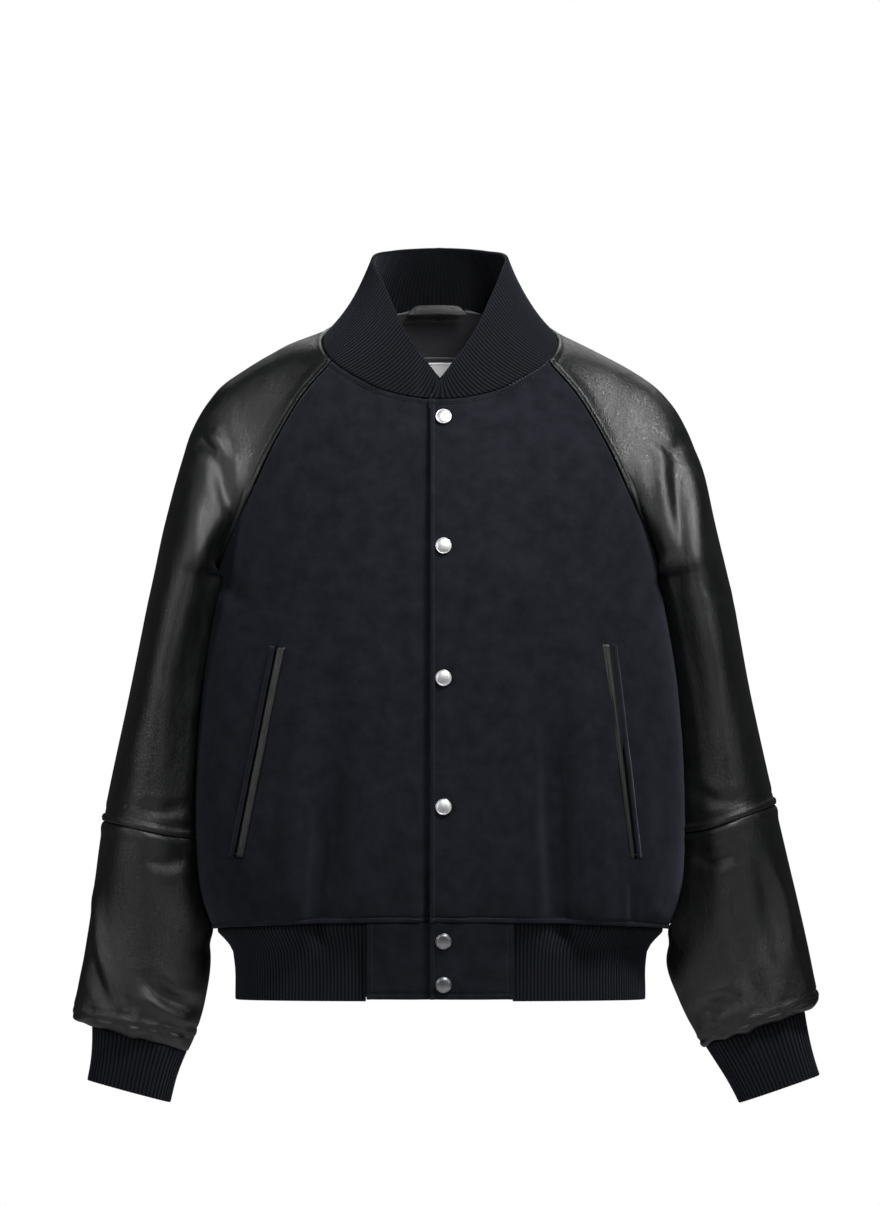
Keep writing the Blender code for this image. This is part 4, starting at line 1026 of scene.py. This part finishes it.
def snap_cap(name, height):
    """A press stud's cap, spun from its profile: a rolled rim, a fine groove and a low dome, set
    square on the left front."""
    section = BODY if height > HEM_FRONT else TAB
    t = np.linspace(0.0, np.pi, 13)
    rim = np.stack([0.940 - 0.060 * np.cos(t), 0.00130 + 0.00050 * np.sin(t)], -1)
    under = np.array([(0.93, 0.0), (0.99, 0.0004), (1.0, 0.0010)])
    dome = np.linspace(0.87, 0.0, 15)
    low = np.stack([dome, 0.0013 + 0.0018 * np.sqrt(1 - (dome / 0.90) ** 2)], -1)
    profile = np.concatenate([[(0.0, 0.0)], under, rim[::-1], low])
    turn = np.linspace(0.0, 2 * np.pi, 65)[:-1]
    radius, rise = profile[:, :1] * SNAP_RADIUS, profile[:, 1:]
    spun = np.stack(np.broadcast_arrays(radius * np.cos(turn), radius * np.sin(turn), rise), -1)
    at, below = (body_point(body_angle(SNAP_X, z, section), np.float64(z), section)
                 for z in (height, height - 0.004))
    down = unit(below - at)
    out = np.array([0.0, down[2], -down[1]])
    up, right = -down, np.array([1.0, 0.0, 0.0])
    at = at + out * (LAID_ON + 0.0006)
    points = at + spun[..., :1] * right + spun[..., 1:2] * up + spun[..., 2:] * out
    index = np.arange(points[..., 0].size).reshape(points.shape[:2])
    faces = grid_faces(np.concatenate([index, index[:, :1]], axis=1))
    finish = "snap" if section is BODY else "snap_dark"
    made = make_object(name, points.reshape(-1, 3), faces, finish)
    return made


# ---- materials ------------------------------------------------------------------------------------
def node(tree, kind, **values):
    """A shader node with these values on its input sockets; _ stands for a space in a name."""
    return set_sockets(tree.nodes.new("ShaderNode" + kind), **values)


def set_sockets(made, **values):
    """Give a node's input sockets these values."""
    for socket, value in values.items():
        made.inputs[socket.replace("_", " ")].default_value = value
    return made


def new_material(name, colour, roughness, metallic=0.0, **more):
    """A Principled material on object coordinates, and the few nodes that all of them share."""
    made = bpy.data.materials.new(name)
    made.use_nodes = True
    tree = made.node_tree
    shader = set_sockets(tree.nodes["Principled BSDF"], Base_Color=(*colour, 1.0),
                         Roughness=roughness, Metallic=metallic, **more)
    return made, tree, shader, node(tree, "TexCoord").outputs["Object"]


def noise(tree, at, scale, detail=3.0, roughness=0.55, stretch=None):
    """Noise on given coordinates, which may be stretched first."""
    if stretch is not None:
        mapping = node(tree, "Mapping", Scale=stretch)
        tree.links.new(at, mapping.inputs["Vector"])
        at = mapping.outputs["Vector"]
    made = node(tree, "TexNoise", Scale=scale, Detail=detail, Roughness=roughness)
    tree.links.new(at, made.inputs["Vector"])
    return made.outputs["Fac"]


def between(tree, value, low, high, start=0.3, end=0.7):
    """A value mapped from start to end onto low to high."""
    made = node(tree, "MapRange", From_Min=start, From_Max=end, To_Min=low, To_Max=high)
    tree.links.new(value, made.inputs["Value"])
    return made.outputs["Result"]


def blend(tree, value, low, high, into):
    """Two colours mixed by a value, into a socket."""
    made = node(tree, "Mix")
    made.data_type = "RGBA"
    set_sockets(made, A=(*low, 1.0), B=(*high, 1.0))
    tree.links.new(value, made.inputs["Factor"])
    tree.links.new(made.outputs["Result"], into)


def bumped(tree, shader, layers):
    """Bumps stacked one on another, each a (height, strength, distance)."""
    normal = None
    for height, strength, distance in layers:
        made = node(tree, "Bump", Strength=strength, Distance=distance)
        tree.links.new(height, made.inputs["Height"])
        if normal is not None:
            tree.links.new(normal, made.inputs["Normal"])
        normal = made.outputs["Normal"]
    tree.links.new(normal, shader.inputs["Normal"])


def wool():
    """Melton wool: nearly black navy with a short nap, mottled in soft clouds and fine fibres."""
    made, tree, shader, at = new_material(
        "wool", (0.009, 0.010, 0.016), 0.92, Sheen_Weight=0.16, Sheen_Roughness=0.45,
        Sheen_Tint=(0.62, 0.66, 0.85, 1.0), Specular_IOR_Level=0.10)
    clouds = between(tree, noise(tree, at, 60.0, 5.0, 0.65), 0.0, 1.0)
    blend(tree, clouds, (0.0070, 0.0076, 0.0112), (0.0150, 0.0160, 0.0215),
          shader.inputs["Base Color"])
    fibres = noise(tree, at, 1400.0, 2.0, 0.7)
    nap = noise(tree, at, 420.0, 4.0, 0.65)
    bumped(tree, shader, ((fibres, 0.5, 0.0003), (nap, 0.6, 0.0007)))
    return made


def leather():
    """Black grained leather: small cells with fine creases between them, unevenly glossy."""
    made, tree, shader, at = new_material(
        "leather", (0.0085, 0.0095, 0.0095), 0.40, Specular_IOR_Level=0.80)
    wear = noise(tree, at, 22.0, 4.0, 0.6)
    blend(tree, between(tree, wear, 0.0, 1.0), (0.0022, 0.0025, 0.0026), (0.0056, 0.0062, 0.0064),
          shader.inputs["Base Color"])
    streaks = noise(tree, at, 120.0, 5.0, 0.7, (1.0, 1.0, 0.35))
    tree.links.new(between(tree, streaks, 0.30, 0.48), shader.inputs["Roughness"])
    cells = node(tree, "TexVoronoi", Scale=900.0)
    cells.feature = "DISTANCE_TO_EDGE"
    tree.links.new(at, cells.inputs["Vector"])
    grain = between(tree, cells.outputs["Distance"], 0.0, 1.0, 0.0, 0.25)
    soft = noise(tree, at, 240.0, 3.0, 0.6)
    bumped(tree, shader, ((grain, 0.40, 0.0003), (soft, 0.40, 0.0006), (streaks, 0.40, 0.0012)))
    return made


def rib():
    """Knit yarn: each wale's stitches across it, a fine fuzz, and painted shade that turns the
    base colour nearly black in the valleys between the ribs.
    """
    made, tree, shader, at = new_material(
        "rib", (0.0075, 0.0085, 0.0130), 0.88, Sheen_Weight=0.14, Sheen_Roughness=0.5,
        Sheen_Tint=(0.62, 0.66, 0.85, 1.0), Specular_IOR_Level=0.12)
    fuzz = noise(tree, at, 900.0, 3.0, 0.7)
    # painted shade: the base colour runs from nearly black in the rib valleys to the yarn's own
    # colour on the tops, by each point's raised value
    valley_shade_mask = node(tree, "Attribute")
    valley_shade_mask.attribute_name = "raised"
    top = between(tree, valley_shade_mask.outputs["Fac"], 0.0, 1.0, 0.15, 0.85)
    blend(tree, top, (0.0010, 0.0012, 0.0018), (0.0125, 0.0134, 0.0178),
          shader.inputs["Base Color"])
    cloth = node(tree, "UVMap")
    cloth.uv_map = "cloth"
    rows = node(tree, "TexWave", Scale=200.0, Distortion=1.5, Detail=1.0)
    rows.bands_direction = "Y"
    tree.links.new(cloth.outputs["UV"], rows.inputs["Vector"])
    bumped(tree, shader, ((rows.outputs["Fac"], 0.35, 0.0004), (fuzz, 0.5, 0.0004)))
    return made


def satin():
    """Lining satin: dark grey, smooth, with faint upright streaks from its weave."""
    made, tree, shader, at = new_material(
        "satin", (0.030, 0.030, 0.035), 0.38, Specular_IOR_Level=0.6, Sheen_Weight=0.15)
    weave = noise(tree, at, 300.0, 2.0, 0.6, (3.0, 3.0, 0.15))
    tree.links.new(between(tree, weave, 0.33, 0.45), shader.inputs["Roughness"])
    bumped(tree, shader, ((weave, 0.15, 0.0003),))
    return made


def label():
    """A plain woven label: light grey with a fine twill."""
    made, tree, shader, at = new_material("label", (0.80, 0.80, 0.81), 0.75)
    twill = node(tree, "TexWave", Scale=450.0)
    twill.bands_direction = "DIAGONAL"
    tree.links.new(at, twill.inputs["Vector"])
    blend(tree, between(tree, noise(tree, at, 150.0), 0.0, 1.0), (0.84, 0.84, 0.85),
          (0.92, 0.92, 0.93), shader.inputs["Base Color"])
    bumped(tree, shader, ((twill.outputs["Fac"], 0.3, 0.0003),))
    return made


def snap_metal(name, colour, low, high):
    """Plated steel, with fine scratches in its gloss."""
    made, tree, shader, at = new_material(name, colour, low, 1.0)
    scratches = noise(tree, at, 500.0, 3.0, 0.7, (1.0, 1.0, 6.0))
    tree.links.new(between(tree, scratches, low, high), shader.inputs["Roughness"])
    bumped(tree, shader, ((scratches, 0.06, 0.0002),))
    return made


def pocket_black():
    """Painted shade for the pocket's mouth: near-black, matt cloth laid over the slit for the
    shadow inside it, which no light reaches.
    """
    made, tree, shader, at = new_material("pocket_black", (0.0015, 0.0015, 0.0017), 0.95,
                                          Specular_IOR_Level=0.05)
    bumped(tree, shader, ((noise(tree, at, 700.0), 0.4, 0.0003),))
    return made


def thread():
    """Waxed dark thread: two plies twisted into a slight shine."""
    made, tree, shader, at = new_material("thread", (0.020, 0.021, 0.024), 0.48)
    ply = noise(tree, at, 1800.0, 1.0)
    blend(tree, between(tree, ply, 0.0, 1.0), (0.008, 0.009, 0.010), (0.020, 0.021, 0.024),
          shader.inputs["Base Color"])
    bumped(tree, shader, ((ply, 0.4, 0.0002),))
    return made


def floor_white():
    """The pale, matt floor under the jacket."""
    return new_material("floor", (0.80, 0.80, 0.80), 0.9)[0]


MATERIALS = dict(wool=wool(), leather=leather(), rib=rib(), satin=satin(), label=label(),
                 snap=snap_metal("snap", (0.95, 0.95, 0.96), 0.40, 0.50),
                 snap_dark=snap_metal("snap_dark", (0.42, 0.42, 0.44), 0.30, 0.42),
                 thread=thread(), mouth=pocket_black())
CUTS = []


# ---- the jacket ---------------------------------------------------------------------------------
def dressed(made, slot, *nodes):
    """The piece stands for these solids, whose parts are hidden; slot is not used."""
    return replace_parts(made, *nodes)


def sewn(name, skin, wall, finish, node, rests_on, inside=None, held="hung", **how):
    """A shell of cloth in one finish that stands for its solid and states its flat cut."""
    inside = body_axis(skin) if inside is None else inside
    made = shell(name, skin, wall, finish, inside, **how)
    declare(dressed(made, finish, node), skin)


def build_fronts():
    """Both fronts, their hem ends and their pockets."""
    for side in SIDES:
        name = side["name"]
        panel, tab = front_panel(side), hem_tab(side)
        sewn("front_" + name + "_wool", panel, WOOL, "wool", "front_" + name, ("collar", "hem_rib"))
        sewn("hem_end_" + name, tab, WOOL, "wool", "hem_tab_" + name, ("front_" + name,))
        lines = [line_on(panel, normals(panel, body_axis(panel)), *where)
                 for where in (("left", FRONT_STITCH), ("top", NECK_BAND), ("end", BAND))]
        lines += [line_on(tab, normals(tab, body_axis(tab)), *where)
                  for where in (("left", FRONT_STITCH), ("right", TAB_BAND))]
        stitches("front_stitches_" + name, lines)
        build_pocket(side)


def build_pocket(side):
    """A slanted welt pocket, drawn closed: the leather welt, the mouth beside it as a strip of
    painted shade, the wool lip on its outer side, and a bar of stitches at each end."""
    name = side["name"]
    narrow = 0.45 if side is LEFT else 0.05
    welt = pocket_strip(side, WELT_LANES, taper=narrow)
    made = shell("pocket_edge_" + name, welt, WELT_WALL, "leather", body_axis(welt))
    trim = [dressed(made, "leather", "pocket_welt_" + name)]
    mouth = pocket_strip(side, MOUTH_LANES, rows=MOUTH_POINTS)
    # the mouth is painted shade: a near-black strip laid on the wool where the slit lies in shadow
    made = shell("pocket_mouth_" + name, mouth, MOUTH_WALL, "mouth", body_axis(mouth))
    trim.append(made)
    lip = pocket_strip(side, LIP_LANES)
    made = shell("pocket_lip_" + name, lip, WELT_WALL, "wool", body_axis(lip))
    trim.append(made)
    line = line_on(welt, normals(welt, body_axis(welt)), "left", 0.0030)
    lines = [line]
    across = pocket_strip(side, BAR_LANES)
    fine, lanes = np.linspace(0.0, 1.0, 9), np.linspace(0.0, 1.0, len(BAR_LANES))
    for row in BAR_ROWS:
        bar = np.stack([np.interp(fine, lanes, across[row][:, k]) for k in range(3)], -1)
        lines.append((bar, np.broadcast_to(line[1][row], bar.shape)))
    trim.append(stitches("pocket_stitches_" + name, lines, pitch=0.0024, length=0.0018))
    declare(trim[0], welt)


def build_back():
    """The wool back and what lines it at the neck."""
    panel = back_panel()
    sewn("back_wool", panel, WOOL, "wool", "back", ("collar", "hem_rib"))
    normal = normals(panel, body_axis(panel))
    lines = [line_on(panel, normal, "top", NECK_BAND), line_on(panel, normal, "end", BAND)]
    stitches("back_stitches", lines)

    behind = WOOL + LAID_ON
    facing = lining_panel(FACING_SPAN, LINING_REACH, behind, FACING_COLUMNS, wave=0.0001)
    sewn("facing_satin", facing, SATIN, "satin", "neck_facing", ("back",))
    lining = lining_panel(LINING_SPAN, LINING_REACH, behind, LINING_COLUMNS, wave=0.0006)
    sewn("lining_satin", lining, SATIN, "satin", "back_lining", ("back",))
    behind = WOOL + SATIN + 3 * LAID_ON
    tag = lining_panel(LABEL_SPAN, LABEL_REACH, behind, LABEL_COLUMNS, wave=0.00005)
    sewn("label_woven", tag, LABEL_WALL, "label", "label", ("back_lining",))
    inward = -normals(tag, body_axis(tag))
    seams = [line_on(tag + inward * LABEL_WALL, inward, edge, 0.0016)
             for edge in ("top", "end", "left", "right")]
    inward = -normals(facing, body_axis(facing))
    seams.append(line_on(facing + inward * SATIN, inward, "end", 0.0030))
    stitches("label_stitches", seams, **FINE_STITCH)

    loop = loop_grid()
    behind = loop + np.array([0.0, 1.0, 0.0])
    sewn("loop_leather", loop, LOOP_WALL, "leather", "hanger_loop", ("neck_facing",), behind)
    normal = normals(loop, behind)
    seams = [line_on(loop, normal, edge, SEAM_STITCH) for edge in ("top", "end")]
    stitches("loop_stitches", seams, **FINE_STITCH)


def build_sleeves():
    """Leather sleeves in four pieces each, topstitched, and their rib cuffs."""
    for side in SIDES:
        mirror = np.array([side["sign"], 1.0, 1.0])
        name = side["name"]
        for face, half in ((-1, "front"), (1, "back")):
            lines = []
            for stretch, panel in (("upper", upper_panel), ("lower", lower_panel)):
                grid = panel(side, face) * mirror
                axis = sleeve_axis(grid)
                node = "_".join(("sleeve", name, stretch, half))
                hung_on = ("collar", "front_" + name)
                if stretch == "lower":
                    hung_on = ("_".join(("sleeve", name, "upper", half)),)
                sewn(node.replace("sleeve", "leather"), grid, LEATHER, "leather", node, hung_on, axis)
                normal = normals(grid, axis)
                if stretch == "upper":
                    seam = line_on(grid, normal, "left", RAGLAN_BAND)
                    lines.append([part[3:SHOULDER_ROWS] for part in seam])
                    lines += [line_on(grid, normal, *where) for where in
                              (("top", NECK_BAND), ("end", ELBOW_BAND), ("end", SEAM_STITCH))]
                else:
                    arm, out = grid[:FOREARM_ROWS], normal[:FOREARM_ROWS]
                    lines += [line_on(arm, out, "end", at) for at in (SEAM_STITCH, CUFF_BAND)]
            stitches("_".join(("sleeve_stitches", name, half)), lines)
        cuff = cuff_grid(side) * mirror
        middle = cuff.mean(axis=1, keepdims=True)
        skin, raised = rib_skin(cuff, middle, CUFF_RIB, CUFF_RIB_HEIGHT, True)
        hung_on = ["_".join(("sleeve", name, "lower", half)) for half in ("front", "back")]
        sewn("cuff_rib_" + name, skin, KNIT, "rib", "cuff_" + name, hung_on, middle,
             held="stretched", wrap=True, free="end", ribbed=raised)


def neck_tape():
    """A narrow tape inside the neckline seam, from the closing edge to centre back.  On the
    right its lower edge lies deeper where the front is pressed in under the left one."""
    for side in SIDES:
        start = float(body_angle(CLOSING_EDGE if side is LEFT else -UNDERLAP_END, NECK_FRONT))
        theta = np.linspace(start, np.pi, TAPE_COLUMNS)[None, :]
        share = np.linspace(0.0, 1.0, TAPE_ROWS)[:, None]
        below = np.linspace(0.0018, -0.0075, TAPE_ROWS)[:, None]
        grid = body_point(theta, neck_height(theta) + below)
        grid[..., 0] *= side["sign"]
        grid = grid if side is LEFT else underlap(grid)
        near = bell(grid[..., 0], CLOSING_EDGE - 0.004, 0.009) * (grid[..., 1] < 0)
        depth = 0.0032 + 0.0045 * near * (side is RIGHT) * share
        grid -= normals(grid, body_axis(grid)) * depth[..., None]
        made = shell("neck_tape_" + side["name"], grid, SATIN, "satin", body_axis(grid))
        declare(made, grid)


def build_ribs():
    """The rib collar and the rib band at the hem."""
    for name, node, grid, pitch, height in (
            ("collar_rib", "collar", collar_grid(), COLLAR_RIB, COLLAR_RIB_HEIGHT),
            ("hem_rib_knit", "hem_rib", hem_rib_grid(), HEM_RIB, HEM_RIB_HEIGHT)):
        skin, raised = rib_skin(grid, body_axis(grid), pitch, height)
        sewn(name, skin, KNIT, "rib", node, ("front_left", "front_right", "back"),
             body_axis(grid), held="stretched", free="end", ribbed=raised)


def build_snaps():
    """The six press studs down the closing edge."""
    for number, height in enumerate(SNAP_HEIGHTS, 1):
        made = snap_cap("snap_cap_" + str(number), height)
        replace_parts(made, "snap_" + str(number))


build_fronts()
build_back()
build_sleeves()
build_ribs()
neck_tape()
build_snaps()


# ---- floor, light and camera ------------------------------------------------------------------
def add_floor():
    """A pale round floor well below the hanging jacket."""
    turn = np.linspace(0.0, 2 * np.pi, FLOOR_SIDES + 1)[:-1]
    radius = np.linspace(0.0, FLOOR_RADIUS, FLOOR_RINGS + 1)[1:, None]
    x, y, z = np.broadcast_arrays(radius * np.cos(turn), radius * np.sin(turn), FLOOR_HEIGHT)
    ring = np.stack([x, y, z], -1)
    index = np.arange(FLOOR_RINGS * FLOOR_SIDES).reshape(FLOOR_RINGS, FLOOR_SIDES)
    faces = grid_faces(np.concatenate([index, index[:, :1]], axis=1)).tolist()
    faces.append(index[0].tolist())
    mesh = bpy.data.meshes.new("floor")
    mesh.from_pydata(ring.reshape(-1, 3).tolist(), [], faces)
    mesh.materials.append(floor_white())
    floor = bpy.data.objects.new("floor", mesh)
    bpy.context.scene.collection.objects.link(floor)


def area_light(name, at, aim, size, power):
    """A soft rectangular light that looks from one point at another."""
    lamp = bpy.data.lights.new(name, "AREA")
    lamp.shape = "RECTANGLE"
    lamp.size, lamp.size_y = size
    lamp.energy = power
    made = bpy.data.objects.new(name, lamp)
    made.location = at
    direction = mathutils.Vector(aim) - mathutils.Vector(at)
    made.rotation_euler = direction.to_track_quat("-Z", "Y").to_euler()
    bpy.context.scene.collection.objects.link(made)


def add_world():
    """A white surround: full white behind the jacket, dimmer as a light on it."""
    world = bpy.data.worlds.new("studio")
    bpy.context.scene.world = world
    world.use_nodes = True
    tree = world.node_tree
    tree.nodes.clear()
    path = node(tree, "LightPath")
    seen = node(tree, "Background", Color=(1.0, 1.0, 1.0, 1.0))
    lit = node(tree, "Background", Color=(0.95, 0.97, 1.0, 1.0), Strength=0.04)
    mix, out = node(tree, "MixShader"), node(tree, "OutputWorld")
    tree.links.new(path.outputs["Is Camera Ray"], mix.inputs["Fac"])
    tree.links.new(lit.outputs["Background"], mix.inputs[1])
    tree.links.new(seen.outputs["Background"], mix.inputs[2])
    tree.links.new(mix.outputs["Shader"], out.inputs["Surface"])


def add_camera():
    """A long lens level with the jacket's middle, far enough away to be nearly parallel."""
    lens = bpy.data.cameras.new("camera")
    lens.lens = LENS
    lens.clip_end = 100.0
    camera = bpy.data.objects.new("camera", lens)
    camera.location = CAMERA_PLACE
    camera.rotation_euler = (math.radians(90.0), 0.0, 0.0)
    bpy.context.scene.collection.objects.link(camera)
    bpy.context.scene.camera = camera


add_floor()
add_world()
for light in LIGHTS:
    area_light(*light)
add_camera()
bpy.context.scene.view_settings.view_transform = "Standard"

print("cuts", json.dumps(CUTS))
